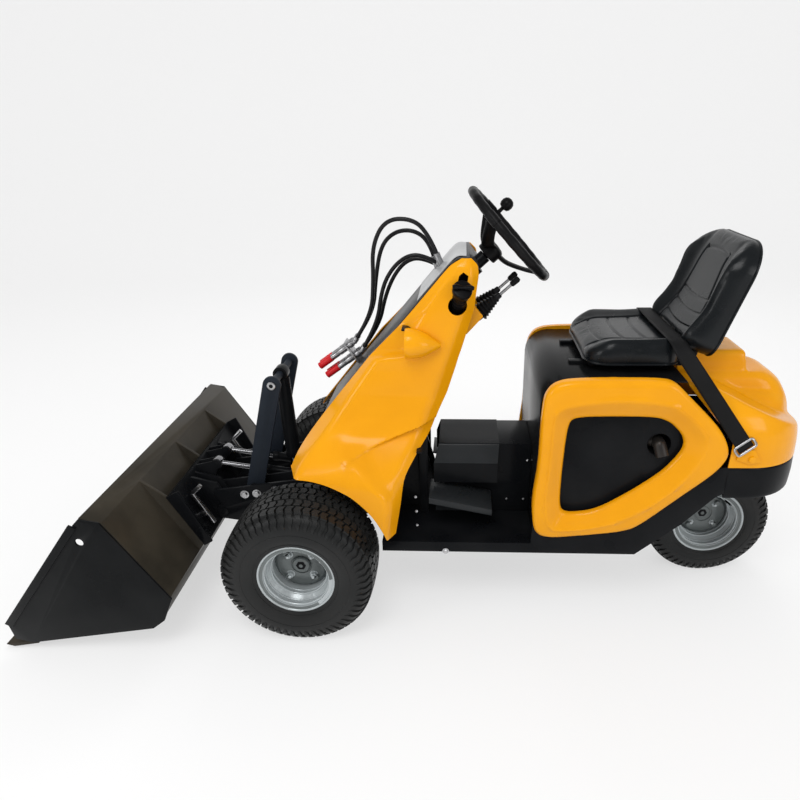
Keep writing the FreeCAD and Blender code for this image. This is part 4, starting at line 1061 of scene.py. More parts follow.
@dataclass
class Cowls:
    """Two moulded side cowls of the console with lamp pods and the arch over the wheel.

    Attributes:
        rows: points from the lower edge to the top.
        gap: widest distance between points of a section.
        fine: heights at which the sections are blended.
        fold: depth of the edge rolled in at the bottom.
        fold_round: how far that edge is rounded.
        wall: wall thickness.
    """

    rows: int = 210
    gap: float = 9.0
    fine: int = 400
    fold: float = 11.0
    fold_round: float = 2.5
    wall: float = 4.0

    @staticmethod
    def crease(x: np.ndarray, z: np.ndarray) -> np.ndarray:
        """How far the face steps in below the crease that climbs to the rear edge.

        The crease is the line z = CREASE_Z + CREASE_RISE (CREASE_X - x).  The step grows from
        the front end over CREASE_RUN and dies out downwards as 1 - smoothstep of the distance.

        Args:
            x: x of the points.
            z: their heights.
        Returns:
            The step of each point.
        """
        along = np.clip((CREASE_X - x) / CREASE_RUN, 0, 1)
        below = CREASE_Z + CREASE_RISE * (CREASE_X - x) - z
        return (7 + 14 * along) * smooth(0, 0.12, along) * smooth(0, 9, below) * (1 - smooth(20, 130, below))

    def skin(self) -> np.ndarray:
        """Left skin as a grid: rows from the lower edge up, columns from front to rear.

        The sections blend evenly between the heights, softened over a few rows above the
        crease and over more below.  The lower edge is the arch, z = axle + sqrt(r^2 - x^2),
        where the skin lies within its radius.

        Returns:
            The grid, with two rows more for the edge that is rolled in.
        """
        heights = np.array([z for z, _ in COWL_CUTS], float)
        lines = denser(np.array([rounded_section(c) for _, c in COWL_CUTS]), self.gap)
        lines = lines.reshape(len(heights), -1)
        zs = np.linspace(heights[0], heights[-1], self.fine)
        table = np.array([np.interp(zs, heights, column) for column in lines.T]).T
        crisp = smooth(600, 690, zs)[:, None]
        xy = (softened(table, 5) * crisp + softened(table, 15) * (1 - crisp)).reshape(len(zs), -1, 2)
        columns = []
        for c in range(xy.shape[1]):
            x, y = xy[:, c, 0], xy[:, c, 1]
            over = x ** 2 + (zs - FRONT_AXLE_Z) ** 2 - ARCH_R ** 2
            k = np.flatnonzero(over < 0)
            low = zs[0]
            if len(k):
                k = k[-1]
                low = zs[k] + (zs[k + 1] - zs[k]) * over[k] / (over[k] - over[k + 1])
            z = np.linspace(low, zs[-1], self.rows)
            x, y = np.interp(z, zs, x), np.interp(z, zs, y)
            columns.append(np.column_stack([x, y - self.crease(x, z), z]))
        grid = np.array(columns).transpose(1, 0, 2)
        lip = grid[0].copy()
        lip[:, 1] -= self.fold
        rim = grid[0].copy()
        rim[:, 1] -= self.fold_round
        away = np.column_stack([lip[:, 0], lip[:, 2] - FRONT_AXLE_Z])
        away /= np.linalg.norm(away, axis=1)[:, None]
        rim[:, (0, 2)] -= away * 1.5
        lip[:, (0, 2)] -= away * 0.5
        return np.concatenate([lip[None], rim[None], grid])

    def pod(self) -> Forms:
        """Bullet-shaped lamp pod, its open face forward, as turned rings that shrink to the rear.

        Returns:
            The forms of the left pod.
        """
        forms = Forms()
        stations = spline([(-318, 43, 862), (-330, 44, 862), (-352, 41, 861), (-378, 32, 859),
                           (-402, 17, 857), (-420, 3, 856)], 22)
        w = np.linspace(0, 2 * math.pi, 40, endpoint=False)
        inner = ((-334, 36, LAMP_Z), (-322, 38, LAMP_Z), (-317.5, 41, LAMP_Z))
        rings = [np.column_stack([np.full(len(w), x), LAMP_Y + r * np.cos(w), z + r * np.sin(w)])
                 for x, r, z in (*inner, *stations)]
        forms.grid(np.array(rings), close_v=True, cap=True)
        return forms

    def lamp(self) -> Forms:
        """Bezel and domed lens of the left lamp.

        Returns:
            The forms.
        """
        forms = Forms()
        at = (-336, LAMP_Y, LAMP_Z)
        forms.turned([(0, 35), (13, 35), (15, 33), (15, 30), (9, 29)], at, (1, 0, 0), 40, 1)
        forms.turned([(6, 30)] + [(8 + 12 * math.cos(a), 30 * math.sin(a))
                                  for a in np.linspace(math.pi / 2, 0.06, 8)], at, (1, 0, 0), 40)
        return forms

    def build(self) -> list:
        """Builds both cowls with their pods and lamps.

        Returns:
            The new objects.
        """
        made = []
        for side, name in ((1, "left"), (-1, "right")):
            grid = self.skin()
            grid[..., 1] *= side
            skin = new_object("cowl_skin_" + name, surface("cowl_" + name, grid), YELLOW, "chassis",
                              ("cowl_" + name,))
            thick(skin, self.wall, (-200, 0, 600))
            if side > 0:
                hole = Forms()
                hole.turned([(-60, 27), (60, 27)], (-467, 160, 965), (0, 1, 0), 32)
                hole.prism([(-455, 976), (-471, 1048), (-483, 1057), (-497, 1047), (-484, 968)], 100, 260)
                cut_with(skin, hole)
            shade_by_angle(skin.data, 38)
            pod, lamp = self.pod(), self.lamp()
            if side < 0:
                pod, lamp = pod.mirrored(), lamp.mirrored()
            made += [skin, new_object("lamp_pod_" + name, pod.mesh("pod"), YELLOW, "chassis"),
                     new_object("lamp_" + name, lamp.mesh("lamp"), [LENS, BLACK], "chassis",
                                ("work_lamps",) if side > 0 else ())]
        return made


PANEL_OUT = ((-735, 272), (-860, 284), (-960, 297), (-1010, 314), (-1119, 416), (-1214, 504), (-1243, 552),
             (-1238, 590), (-1204, 646), (-1112, 735), (-1066, 780), (-1020, 788), (-780, 787), (-730, 770),
             (-706, 725), (-706, 521), (-692, 400), (-700, 300))
PANEL_WINDOW = ((-777, 368), (-804, 351), (-886, 363), (-983, 427), (-1070, 498), (-1113, 560), (-1119, 590),
                (-1108, 618), (-1072, 655), (-1030, 671), (-920, 672), (-806, 670), (-784, 650), (-777, 500))


def by_angle(points: ArrayLike, centre: ArrayLike, count: int, soft: float = 0.42) -> np.ndarray:
    """Resamples a closed outline at even angles about a centre, its corners rounded a little.

    Args:
        points: (n, 2) corners.
        centre: the centre.
        count: number of samples.
        soft: share of each side that a corner's curve takes.
    Returns:
        (count, 2) samples.
    """
    p = np.asarray(points, float)
    fine = []
    for i in range(len(p)):
        a, b, c = p[i - 1], p[i], p[(i + 1) % len(p)]
        q0, q1 = b + (a - b) * soft, b + (c - b) * soft
        fine += [(1 - t) ** 2 * q0 + 2 * t * (1 - t) * b + t * t * q1 for t in np.linspace(0, 1, 9)]
    fine = np.array(fine)
    rel = fine - centre
    ang = np.unwrap(np.arctan2(rel[:, 1], rel[:, 0]))
    order = np.argsort(ang)
    ang, rad = ang[order], np.linalg.norm(rel, axis=1)[order]
    want = np.linspace(0, 2 * math.pi, count, endpoint=False)
    base = ang[0] + (want - ang[0]) % (2 * math.pi)
    rr = np.interp(base, np.append(ang, ang[0] + 2 * math.pi), np.append(rad, rad[0]))
    return np.column_stack([centre[0] + rr * np.cos(want), centre[1] + rr * np.sin(want)])


@dataclass
class BayPanels:
    """Moulded ring panels over the engine bay, rolled to the outside edge and into the window.

    Attributes:
        half: y of the panel's back.
        face: y of its face.
        centre: (x, z) that the rays start from.
        count: points round the panel.
    """

    half: float = 262.0
    face: float = 298.0
    centre: tuple = (-930.0, 540.0)
    count: int = 240

    def skin(self) -> np.ndarray:
        """Left panel as a grid that runs from the back of the outer edge over the face into the window.

        Returns:
            The grid, closed both ways.
        """
        outer = by_angle(PANEL_OUT, self.centre, self.count)
        inner = by_angle(PANEL_WINDOW, self.centre, self.count)
        inward = inner - outer
        width = np.linalg.norm(inward, axis=1)[:, None]
        inward = inward / width
        back = np.where(outer[:, 1] < 345, 286.0, self.half + 1)
        rows = [np.column_stack([outer[:, 0], back, outer[:, 1]])]
        face = self.face
        for step, y in ((0, face - 17), (1.5, face - 10), (5, face - 5), (11, face - 2), (20, face - 0.5)):
            at = outer + inward * step
            rows.append(np.column_stack([at[:, 0], np.full(self.count, y), at[:, 1]]))
        bevel = np.minimum(56, 0.56 * width)
        ridge = inner - inward * bevel
        for share, y in ((0.4, face + 1.5), (0.8, face + 4)):
            at = outer + inward * 20 + (ridge - outer - inward * 20) * share
            rows.append(np.column_stack([at[:, 0], np.full(self.count, y), at[:, 1]]))
        for share, y in ((1.08, face + 5), (1.0, face + 4.6), (0.9, face + 2.5), (0.6, face - 7),
                         (0.34, face - 15), (0.16, face - 19), (0.06, face - 23), (0.0, face - 30)):
            at = inner - inward * bevel * share
            rows.append(np.column_stack([at[:, 0], np.full(self.count, y), at[:, 1]]))
        rows.append(np.column_stack([inner[:, 0], np.full(self.count, self.half + 1.0), inner[:, 1]]))
        return np.array(rows)

    def build(self) -> list:
        """Builds both panels.

        Returns:
            The new objects.
        """
        made = []
        for side, name in ((1, "left"), (-1, "right")):
            grid = self.skin()
            grid[..., 1] *= side
            mesh = surface("bay_panel_" + name, grid, close_u=True, close_v=True)
            shade_by_angle(mesh, 50)
            made.append(new_object("bay_panel_" + name, mesh, YELLOW, "chassis", ("side_panel_" + name,)))
        return made


BOWL_ROWS = (  # height, half width, rear x, corner radius of the hood's lower body
    (500, 287, -1500, 190), (560, 287, -1499, 192), (600, 284, -1496, 195), (640, 276, -1485, 193),
    (675, 262, -1466, 186), (705, 240, -1446, 176), (730, 218, -1420, 162), (750, 205, -1400, 150),
)
SPINE_ROWS = (  # the same for the spine along its middle, then for the shoulder below it
    ((560, 118, -1492, 60), (640, 114, -1484, 60), (700, 106, -1456, 62), (728, 98, -1428, 60),
     (742, 88, -1404, 56)),
    ((560, 150, -1480, 80), (640, 142, -1474, 80), (672, 132, -1458, 78), (688, 118, -1440, 74)),
)
HUMP = ((690, -1348, 92), (780, -1332, 82), (800, -1329, 78), (806, -1322, 72))
HOOD_FRONT = ((-1246, 500), (-1250, 600), (-1206, 655), (-1128, 745), (-1128, 860))


@dataclass
class Tail:
    """Hood over the engine's rear and the bumper band below it.

    Attributes:
        arc: points round a corner.
        levels: heights of each stacked form.
        front: x at which the stacked forms begin.
        low: height of the hood's lower edge.
        wall: wall thickness.
        voxel: grid of the join, in metres.
    """

    arc: int = 14
    levels: int = 24
    front: float = -1090.0
    low: float = 520.3
    wall: float = 4.0
    voxel: float = 0.0055

    def outline(self, half: float, rear: float, corner: float, front: float) -> np.ndarray:
        """Half of a plan outline from the front to the centre of the rear.

        Args:
            half: half width.
            rear: x of the rear.
            corner: radius of the corner.
            front: x of the front.
        Returns:
            (x, y) points.
        """
        a = np.linspace(0, math.pi / 2, self.arc)
        arc = np.column_stack([rear + corner - corner * np.sin(a), half - corner + corner * np.cos(a)])
        side = np.column_stack([np.linspace(front, rear + corner, 8)[:-1], np.full(7, half)])
        back = np.column_stack([np.full(5, rear), np.linspace(half - corner, 0, 6)[1:]])
        return np.vstack([side, arc, back])

    def stack(self, forms: Forms, rows: ArrayLike) -> None:
        """Adds a closed form through plan outlines at rising heights.

        Args:
            forms: takes the form.
            rows: height, half width, rear x and corner radius of each outline.
        """
        rings = []
        for z, half, rear, corner in spline(rows, self.levels):
            left = self.outline(half, rear, corner, self.front)
            line = np.vstack([left, (left * (1, -1))[::-1][1:]])
            rings.append(np.column_stack([line, np.full(len(line), z)]))
        forms.grid(np.array(rings), close_v=True, cap=True)

    def hood(self) -> bpy.types.Object:
        """Bowl with a falling rim, spine, shoulder and hump, blended as one moulding.

        The closed forms are joined on an even voxel grid, smoothed, cut open below and in
        front, and given a wall.

        Returns:
            The new object.
        """
        whole = Forms()
        self.stack(whole, BOWL_ROWS)
        bowl = new_object("hood", whole.mesh("hood"), YELLOW, "chassis", ("rear_hood",))
        rim = Forms()
        rim.prism([(-1700, 508), (-1060, 805), (-1060, 1000), (-1700, 1000)], -400, 400)
        cut_with(bowl, rim)
        rest = Forms()
        for rows in SPINE_ROWS:
            self.stack(rest, rows)
        hump = [[(x, -h, z), (self.front, -h, z), (self.front, h, z), (x, h, z)] for z, x, h in HUMP]
        rest.grid(np.array(hump, float), close_v=True, cap=True)
        work = bmesh.new()
        work.from_mesh(bowl.data)
        work.from_mesh(rest.mesh("rest"))
        work.to_mesh(bowl.data)
        work.free()
        remesh = bowl.modifiers.new("join", "REMESH")
        remesh.mode, remesh.voxel_size = "VOXEL", self.voxel
        relax = bowl.modifiers.new("relax", "SMOOTH")
        relax.factor, relax.iterations = 0.5, 12
        apply_modifiers(bowl)
        front = Forms()
        front.prism(list(HOOD_FRONT) + [(-1000, 860), (-1000, 500)], -400, 400)
        cut_with(bowl, front)
        base = Forms()
        base.prism([(-1700, 400), (-900, 400), (-900, self.low), (-1700, self.low)], -400, 400)
        cut_with(bowl, base)
        self.open_up(bowl.data, self.low)
        return thick(bowl, self.wall, (-1250, 0, 640))

    @staticmethod
    def open_up(mesh: bpy.types.Mesh, low: float) -> None:
        """Removes the faces that the cuts left across the hood's underside and front.

        Args:
            mesh: the hood's mesh.
            low: height of the cut below it.
        """
        xs, zs = [p[0] for p in HOOD_FRONT], [p[1] for p in HOOD_FRONT]
        work = bmesh.new()
        work.from_mesh(mesh)

        def on_cut(co: Vector) -> bool:
            """Whether a point lies on one of the cuts."""
            x, z = co.x * 1000 - SHIFT_X, co.z * 1000
            return z < low + 0.2 or x > np.interp(z, zs, xs) - 0.3

        gone = [face for face in work.faces if all(on_cut(v.co) for v in face.verts)]
        bmesh.ops.delete(work, geom=gone, context="FACES")
        work.to_mesh(mesh)
        work.free()

    def build(self) -> list:
        """Builds the hood and the bumper.

        Returns:
            The new objects.
        """
        hood = self.hood()
        shade_by_angle(hood.data, 50)
        bumper = []
        profile = ((418.0, 3.0), (422, 0.8), (430, 0), (470, -1.5), (508, 0), (516, 1.2), (519.3, 4.0))
        for z, inset in profile:
            left = self.outline(285 - inset, -1500 + inset, 190 - inset, -1250)
            line = np.vstack([left, (left * (1, -1))[::-1][1:]])
            bumper.append(np.column_stack([line, np.full(len(line), z)]))
        band = new_object("bumper", surface("bumper", np.array(bumper)), BLACK, "chassis", ("rear_bumper",))
        thick(band, 12.0, (-1300, 0, 470))
        shade_by_angle(band.data, 45)
        return [hood, band]


# ------------------------------------------------------------------ seat
@dataclass(frozen=True)
class Pad:
    """One upholstered pad in its own axes: across (y), along its length and through its thickness.

    Attributes:
        name: the piece's name.
        node: the CAD node it stands for.
        origin: middle of its back face, in table millimetres.
        along: direction of its length.
        out: direction its sitting face looks.
        half: half width.
        length: length.
        depth: thickness.
        corner: plan corner radius.
        bolster: how much the sides stand above the middle.
        nose: share by which the far end is thinned.
        heel: plan corner radius at the near end.
        foot: share by which the near end is thickened.
        arc: points round a corner of the plan.
    """

    name: str
    node: str
    origin: tuple
    along: tuple
    out: tuple
    half: float
    length: float
    depth: float
    corner: float
    bolster: float
    nose: float
    heel: float
    foot: float
    arc: int = 12

    def plan(self, grow: float) -> np.ndarray:
        """Rounded-rectangle outline.

        Args:
            grow: how far it stands outside the pad's own.
        Returns:
            (across, along) points.
        """
        h, l, far, near = self.half + grow, self.length / 2 + grow, self.corner, self.heel
        pts = []
        for cx, cy, r, a0 in ((h - far, l - far, far, 0), (far - h, l - far, far, 90),
                              (near - h, near - l, near, 180), (h - near, near - l, near, 270)):
            for k in range(self.arc):
                a = math.radians(a0 + 90 * k / (self.arc - 1))
                pts.append((cx + r * math.cos(a), cy + r * math.sin(a)))
        return np.array(pts)

    def block(self) -> bpy.types.Object:
        """A slightly small slab in pad axes (metres), remeshed to even quads with bolsters and nose.

        Returns:
            The object, which isn't a finished piece yet.
        """
        forms = Forms()
        plan = self.plan(-7)
        rows = []
        for inset, w in ((8, 4), (1, 9), (0, 16), (0, self.depth - 34), (4, self.depth - 20),
                         (12, self.depth - 10), (26, self.depth - 4)):
            ring = plan * (1 - inset / self.half)
            rows.append(np.column_stack([ring, np.full(len(ring), w)]))
        forms.grid(np.array(rows), close_v=True, cap=True)
        verts = np.vstack(forms.verts) / 1000
        mesh = mesh_from(self.name, verts, forms.faces)
        tidy(mesh)
        obj = bpy.data.objects.new(self.name, mesh)
        bpy.context.scene.collection.objects.link(obj)
        remesh = obj.modifiers.new("remesh", "REMESH")
        remesh.mode, remesh.voxel_size = "VOXEL", 0.006
        apply_modifiers(obj)
        co = read_points(obj.data)
        u, v, w = co[:, 0] * 1000 / self.half, co[:, 1] * 2000 / self.length, co[:, 2] * 1000 / self.depth
        rise = self.bolster * (smooth(0.52, 0.86, np.abs(u)) - 0.35) * np.clip(w * 1.6 - 0.6, 0, 1)
        co[:, 2] += rise / 1000
        co[:, 2] *= 1 - self.nose * smooth(0.35, 1.0, v) + self.foot * smooth(0.15, 1.0, -v)
        write_points(obj.data, co)
        return obj

    def place(self, co: np.ndarray) -> np.ndarray:
        """Pad axes in metres to row-frame metres.

        Args:
            co: (n, 3) points.
        Returns:
            The points in the row frame.
        """
        along, out = unit(self.along), unit(self.out)
        left = np.array((0, 1.0, 0))
        base = place(np.array(self.origin, float))
        return base + co[:, :1] * left + co[:, 1:2] * along + co[:, 2:] * out


def smooth(a: float, b: float, x: ArrayLike) -> np.ndarray:
    """Smoothstep from 0 at a to 1 at b."""
    t = np.clip((x - a) / (b - a), 0, 1)
    return t * t * (3 - 2 * t)


def read_points(mesh: bpy.types.Mesh) -> np.ndarray:
    """The mesh's points.

    Args:
        mesh: the mesh.
    Returns:
        (n, 3) coordinates.
    """
    co = np.empty(len(mesh.vertices) * 3)
    mesh.vertices.foreach_get("co", co)
    return co.reshape(-1, 3)


def write_points(mesh: bpy.types.Mesh, co: np.ndarray) -> None:
    """Sets the mesh's points."""
    mesh.vertices.foreach_set("co", np.ascontiguousarray(co).ravel())
    mesh.update()


def inflate(obj: bpy.types.Object, cap: float, frames: int = 20) -> None:
    """Swells a closed mesh with cloth pressure.

    Args:
        obj: the object to swell.
        cap: how far a point may move, in metres.
        frames: steps of the simulation.
    """
    start = read_points(obj.data)
    cloth = obj.modifiers.new("cloth", "CLOTH")
    cloth.settings.use_pressure = True
    cloth.settings.uniform_pressure_force = 4
    cloth.settings.effector_weights.gravity = 0
    cloth.point_cache.frame_start, cloth.point_cache.frame_end = 1, frames
    scene = bpy.context.scene
    for number in range(1, frames + 1):
        scene.frame_set(number)
    graph = bpy.context.evaluated_depsgraph_get()
    end = read_points(obj.evaluated_get(graph).data)
    obj.modifiers.clear()
    scene.frame_set(1)
    move = end - start
    far = np.linalg.norm(move, axis=1)[:, None]
    write_points(obj.data, start + move * np.minimum(1, cap / np.maximum(far, 1e-9)))


CUSHION = Pad("seat_cushion_pad", "seat_cushion", (-969, 0, 790), (1, 0, 0), (0, 0, 1),
              half=209, length=284, depth=70, corner=72, bolster=15, nose=0.3, heel=48, foot=0.06)
BACK = Pad("seat_back_pad", "seat_back", (-1245.7, 0, 968.2), (-0.32, 0, 0.947), (0.947, 0, 0.32),
           half=206, length=350, depth=70, corner=98, bolster=26, nose=0.26, heel=50, foot=0.4)


@dataclass
class Seat:
    """Cushion and back, each swelled by cloth pressure, with sewn channels and piping.

    Attributes:
        swell: how far a point may move, in metres.
        piping_at: share of the depth at which the piping runs.
        piping_r: its radius.
        least_step: distance under which two of its points are one.
    """

    swell: float = 0.004
    piping_at: float = 0.16
    piping_r: float = 3.6
    least_step: float = 2.0

    def build(self) -> list:
        """Builds the pads with their piping.

        Returns:
            The new objects.
        """
        made = []
        for pad, channels in ((CUSHION, self.cushion_seams), (BACK, self.back_seams)):
            obj = pad.block()
            inflate(obj, self.swell)
            fine = obj.modifiers.new("fine", "SUBSURF")
            fine.levels = fine.render_levels = 1
            apply_modifiers(obj)
            co = read_points(obj.data)
            u, v, w = co[:, 0] * 1000, co[:, 1] * 1000, co[:, 2] * 1000
            groove = channels(u, v)
            co[:, 2] -= groove * smooth(0.45, 0.75, w / pad.depth) / 1000
            pipe = self.piping(co * 1000, pad.depth * self.piping_at)
            write_points(obj.data, pad.place(co))
            mesh = obj.data
            bpy.data.objects.remove(obj)
            tidy(mesh, 1e-7)
            shade_by_angle(mesh, 180)
            skin = new_object(pad.name, mesh, VINYL, "chassis", (pad.node,))
            welt = Forms()
            welt.tube(pad.place(pipe / 1000) * 1000 - (SHIFT_X, 0, 0), self.piping_r, 8, loop=True)
            name = pad.name + "_piping"
            made += [skin, new_object(name, welt.mesh(name), VINYL, "chassis")]
        return made

    @staticmethod
    def line(distance: np.ndarray, width: float, depth: float) -> np.ndarray:
        """A sewn groove: a narrow bell over the distance from its line."""
        return depth * np.exp(-(distance / width) ** 2)

    def cushion_seams(self, u: np.ndarray, v: np.ndarray) -> np.ndarray:
        """Two side seams that close in forwards, and three cross channels that bow a little.

        Args:
            u: millimetres across the pad.
            v: millimetres along it.
        Returns:
            The depth of the seams at each point.
        """
        edge = 118 - 0.06 * v
        side = self.line(np.abs(u) - edge, 3.2, 4.5)
        cross = sum(self.line(v - offset + 0.0009 * u ** 2, 3.4, 4) for offset in (-35, 30, 92))
        return side + cross * (np.abs(u) < edge)

    def back_seams(self, u: np.ndarray, v: np.ndarray) -> np.ndarray:
        """Two side seams that close in upwards, a peaked seam under the headrest and low cross channels.

        Args:
            u: millimetres across the pad.
            v: millimetres along it.
        Returns:
            The depth of the seams at each point.
        """
        edge = 104 - 0.16 * v
        side = self.line(np.abs(np.abs(u) - edge), 3.2, 5) * (v < 112)
        peak = self.line(v - 112 + 0.0013 * u ** 2, 3.6, 5)
        cross = sum(self.line(v - offset - 0.0008 * u ** 2, 3.4, 4) for offset in (-122, -78, -34))
        return side + (peak + cross) * (np.abs(u) < edge)

    def piping(self, co: np.ndarray, level: float) -> np.ndarray:
        """The pad's outermost line at a height through it, one point for each direction.

        Args:
            co: the pad's points in its own axes, in millimetres.
            level: the height.
        Returns:
            A closed line.
        """
        band = co[np.abs(co[:, 2] - level) < 7]
        mid = np.array((0.0, band[:, 1].mean()))
        rel = band[:, :2] - mid
        ang = np.arctan2(rel[:, 1], rel[:, 0])
        line = []
        for a in np.linspace(-math.pi, math.pi, 72, endpoint=False):
            near = np.abs((ang - a + math.pi) % (2 * math.pi) - math.pi) < 0.09
            pick = band[near][np.argmax(np.linalg.norm(rel[near], axis=1))]
            line.append((pick[0], pick[1], level))
        line = np.array(line)
        apart = np.linalg.norm(line - np.roll(line, 1, 0), axis=1) > self.least_step
        return spline(line[apart], 144, closed=True)


# ------------------------------------------------------------------ steering and controls
STEER_CENTRE = np.array((-616.0, 0.0, 1137.0))
LEAN = math.radians(48)
STEER_AXIS = np.array((-math.sin(LEAN), 0, math.cos(LEAN)))
STEER_UP = np.array((math.cos(LEAN), 0, math.sin(LEAN)))


@dataclass
class Steering:
    """Steering wheel with moulded rim, dished spokes, hub cap and spinner knob.

    Attributes:
        radius: from the axis to the middle of the rim.
        rim: radius of the rim's section.
        drop: how far the hub lies below the rim.
    """

    radius: float = 161.0
    rim: float = 14.0
    drop: float = 71.0

    def spot(self, degrees: float, r: float, t: float) -> np.ndarray:
        """A point r out from the axis at an angle from the top, t above the rim's plane."""
        a = math.radians(degrees)
        return (STEER_CENTRE + STEER_UP * (r * math.cos(a)) + np.array((0, 1.0, 0)) * (r * math.sin(a))
                + STEER_AXIS * t)

    def build(self) -> list:
        """Builds the steering wheel.

        Returns:
            The new object, in a list.
        """
        forms = Forms()
        turns = np.linspace(0, 360, 128, endpoint=False)
        forms.tube([self.spot(d, self.radius, 0) for d in turns],
                   [self.rim - 0.9 * (1 - math.cos(math.radians(d * 24))) / 2 for d in turns], 16, loop=True)
        for d in (180, 60, -60):
            path = [self.spot(d, r, t) for r, t in ((24, 6 - self.drop), (60, 12 - self.drop), (108, -34),
                                                    (140, -12), (152, -5))]
            widths = np.interp(np.linspace(0, 1, 16), (0, 0.5, 1), (21, 17, 19))
            forms.tube(spline(path, 16), widths, 16, flat=0.36)
            forms.tube([self.spot(d - 7, self.radius, 0), self.spot(d, self.radius, 0),
                        self.spot(d + 7, self.radius, 0)], 15.2, 16)
        hub = self.spot(0, 0, -self.drop)
        forms.turned([(-18, 32), (-16, 34), (12, 34), (18, 31), (22, 24), (24, 10), (24.5, 1)], hub,
                     STEER_AXIS, 40)
        knob = self.spot(-72, self.radius, 0)
        forms.turned([(8, 7), (26, 6), (28, 9), (30, 15), (38, 19.5), (48, 20), (57, 17), (63, 10), (65, 1)],
                     knob, STEER_AXIS, 28)
        return [new_object("steering_wheel_dressed", forms.mesh("steering_wheel", 40), PLASTIC, "steering",
                           ("steering_wheel",))]


@dataclass
class Controls:
    """Valve block with two levers in bellows, and the winged filler cap.

    Attributes:
        drop: how far the levers stand below the column.
        foot: where their boots begin, from the rim's plane.
    """

    drop: float = 105.0
    foot: float = -207.0

    def station(self, t: float, y: float) -> np.ndarray:
        """A point beside the column, t above the rim's plane."""
        return STEER_CENTRE + STEER_AXIS * t - STEER_UP * self.drop + np.array((0, y, 0))

    def levers(self) -> Forms:
        """Yellow housing behind the console, and two bright levers in ribbed boots with black knobs.

        Returns:
            The forms.
        """
        forms = Forms()
        forms.prism([(-480, 952), (-508, 952), (-514, 949), (-539, 920), (-541, 915), (-494, 863),
                     (-480, 861)], -60, 100, 1)
        for y, top in ((-15, -58), (65, -56)):
            boot = [(0, 27)]
            for k in range(7):
                boot += [(3 + 10 * k, 29 - 2.6 * k), (8 + 10 * k, 22.5 - 2.2 * k)]
            boot += [(77, 9), (80, 7)]
            forms.turned([(-16, 20), (-2, 20), (0, 27)], self.station(self.foot, y), STEER_AXIS, 24)
            forms.turned(boot, self.station(self.foot, y), STEER_AXIS, 28)
            forms.tube([self.station(-128, y), self.station(top - 26, y)], 4.6, 12, 2)
            forms.turned([(0, 6), (3, 8.5), (22, 9.5), (27, 8.4), (30, 6), (30.5, 1)],
                         self.station(top - 30, y), STEER_AXIS, 20)
        return forms

    def cap(self) -> Forms:
        """Filler neck that climbs out of its keyhole, with a winged cap.

        Returns:
            The forms.
        """
        forms = Forms()
        neck, out = np.array((-464.0, 112.0, 940.0)), np.array((-479.0, 188.0, 1010.0))
        axis = unit(out - neck)
        steps = np.linspace(0, 1, 22)
        forms.tube([neck + (out - neck) * t for t in steps], 21.5 + 1.0 * np.cos(steps * 44), 28)
        forms.turned([(-6, 20), (-5, 26), (0, 28), (13, 28), (16, 26), (17, 22), (17.5, 1)], out, axis, 36)
        side = unit(np.cross(axis, (1, 0, 0)))
        wing = unit(np.cross(axis, side))
        for s in (-1, 1):
            path = [out + axis * (17 + lift) + wing * reach * s
                    for reach, lift in ((0, 4), (10, 6), (20, 7), (29, 5))]
            forms.tube(path, (6, 7.5, 10, 7), 14, flat=0.8)
        return forms

    def build(self) -> list:
        """The levers and the cap."""
        return [new_object("levers", self.levers().mesh("levers", 40), [PLASTIC, YELLOW, STEEL], "chassis",
                           ("control_valve",)),
                new_object("filler_cap_dressed", self.cap().mesh("filler_cap"), PLASTIC, "chassis",
                           ("filler_cap",))]


@dataclass
class TunnelCover:
    """Pressed cover over the front of the centre tunnel, its upper corners folded to a wide chamfer.

    Attributes:
        front: x of its front.
        rear: x of its rear.
        section: (y, z) corners.
    """

    front: float = -392.0
    rear: float = -596.0
    section: tuple = ((-130, 376), (-130, 444), (-98, 500.5), (98, 500.5), (130, 444), (130, 376))

    def build(self) -> list:
        """Builds the cover: its section carried back, with its ends leaning in towards the top.

        Returns:
            The new object, in a list.
        """
        line = rounded_section(np.array(self.section, float), 5)
        x = np.linspace(self.front, self.rear, 12)
        grid = np.array([np.column_stack([np.full(len(line), at), line]) for at in x])
        grid[:, :, 0] -= (np.interp(grid[:, :, 2], (444, 500), (0, 16))
                          * np.interp(x, (self.rear, self.front), (0.3, 1))[:, None])
        mesh = surface("tunnel_cover", grid)
        for face in mesh.polygons:
            face.material_index = int(0.3 < abs(face.normal.z) < 0.95)
        cover = new_object("tunnel_cover", mesh, [BLACK, FOOTWELL], "chassis")
        thick(cover, 2.0, (-500, 0, 380))
        shade_by_angle(cover.data, 40)
        return [cover]


@dataclass
class CoverPlate:
    """Plate on the upper end of the slope cover, bent over its top, its pale grey a painted highlight for the
    glossy reflection along the cover's top.

    Attributes:
        half: half width.
        line: (x, z) of the cover's top.
        raised: how far the plate stands off it.
    """

    half: float = 122.0
    line: tuple = ((-350, 968.4), (-398, 1023.8), (-442.6, 1074.4), (-466, 1094), (-492, 1095.2))
    raised: tuple = (0.6, 0.0, 0.9)

    def build(self) -> list:
        """Builds the plate: the line carried across, with a thin wall.

        Returns:
            The new object, in a list.
        """
        path = spline(self.line, 60)
        y = np.linspace(-self.half, self.half, 25)
        shape = (len(path), len(y))
        grid = np.stack([np.broadcast_to(part, shape) for part in (path[:, :1], y, path[:, 1:])], -1)
        grid += self.raised
        plate = new_object("cover_plate", surface("cover_plate", grid), COVER_HIGHLIGHT, "chassis")
        return [thick(plate, 1.2, (-500, 0, 700))]


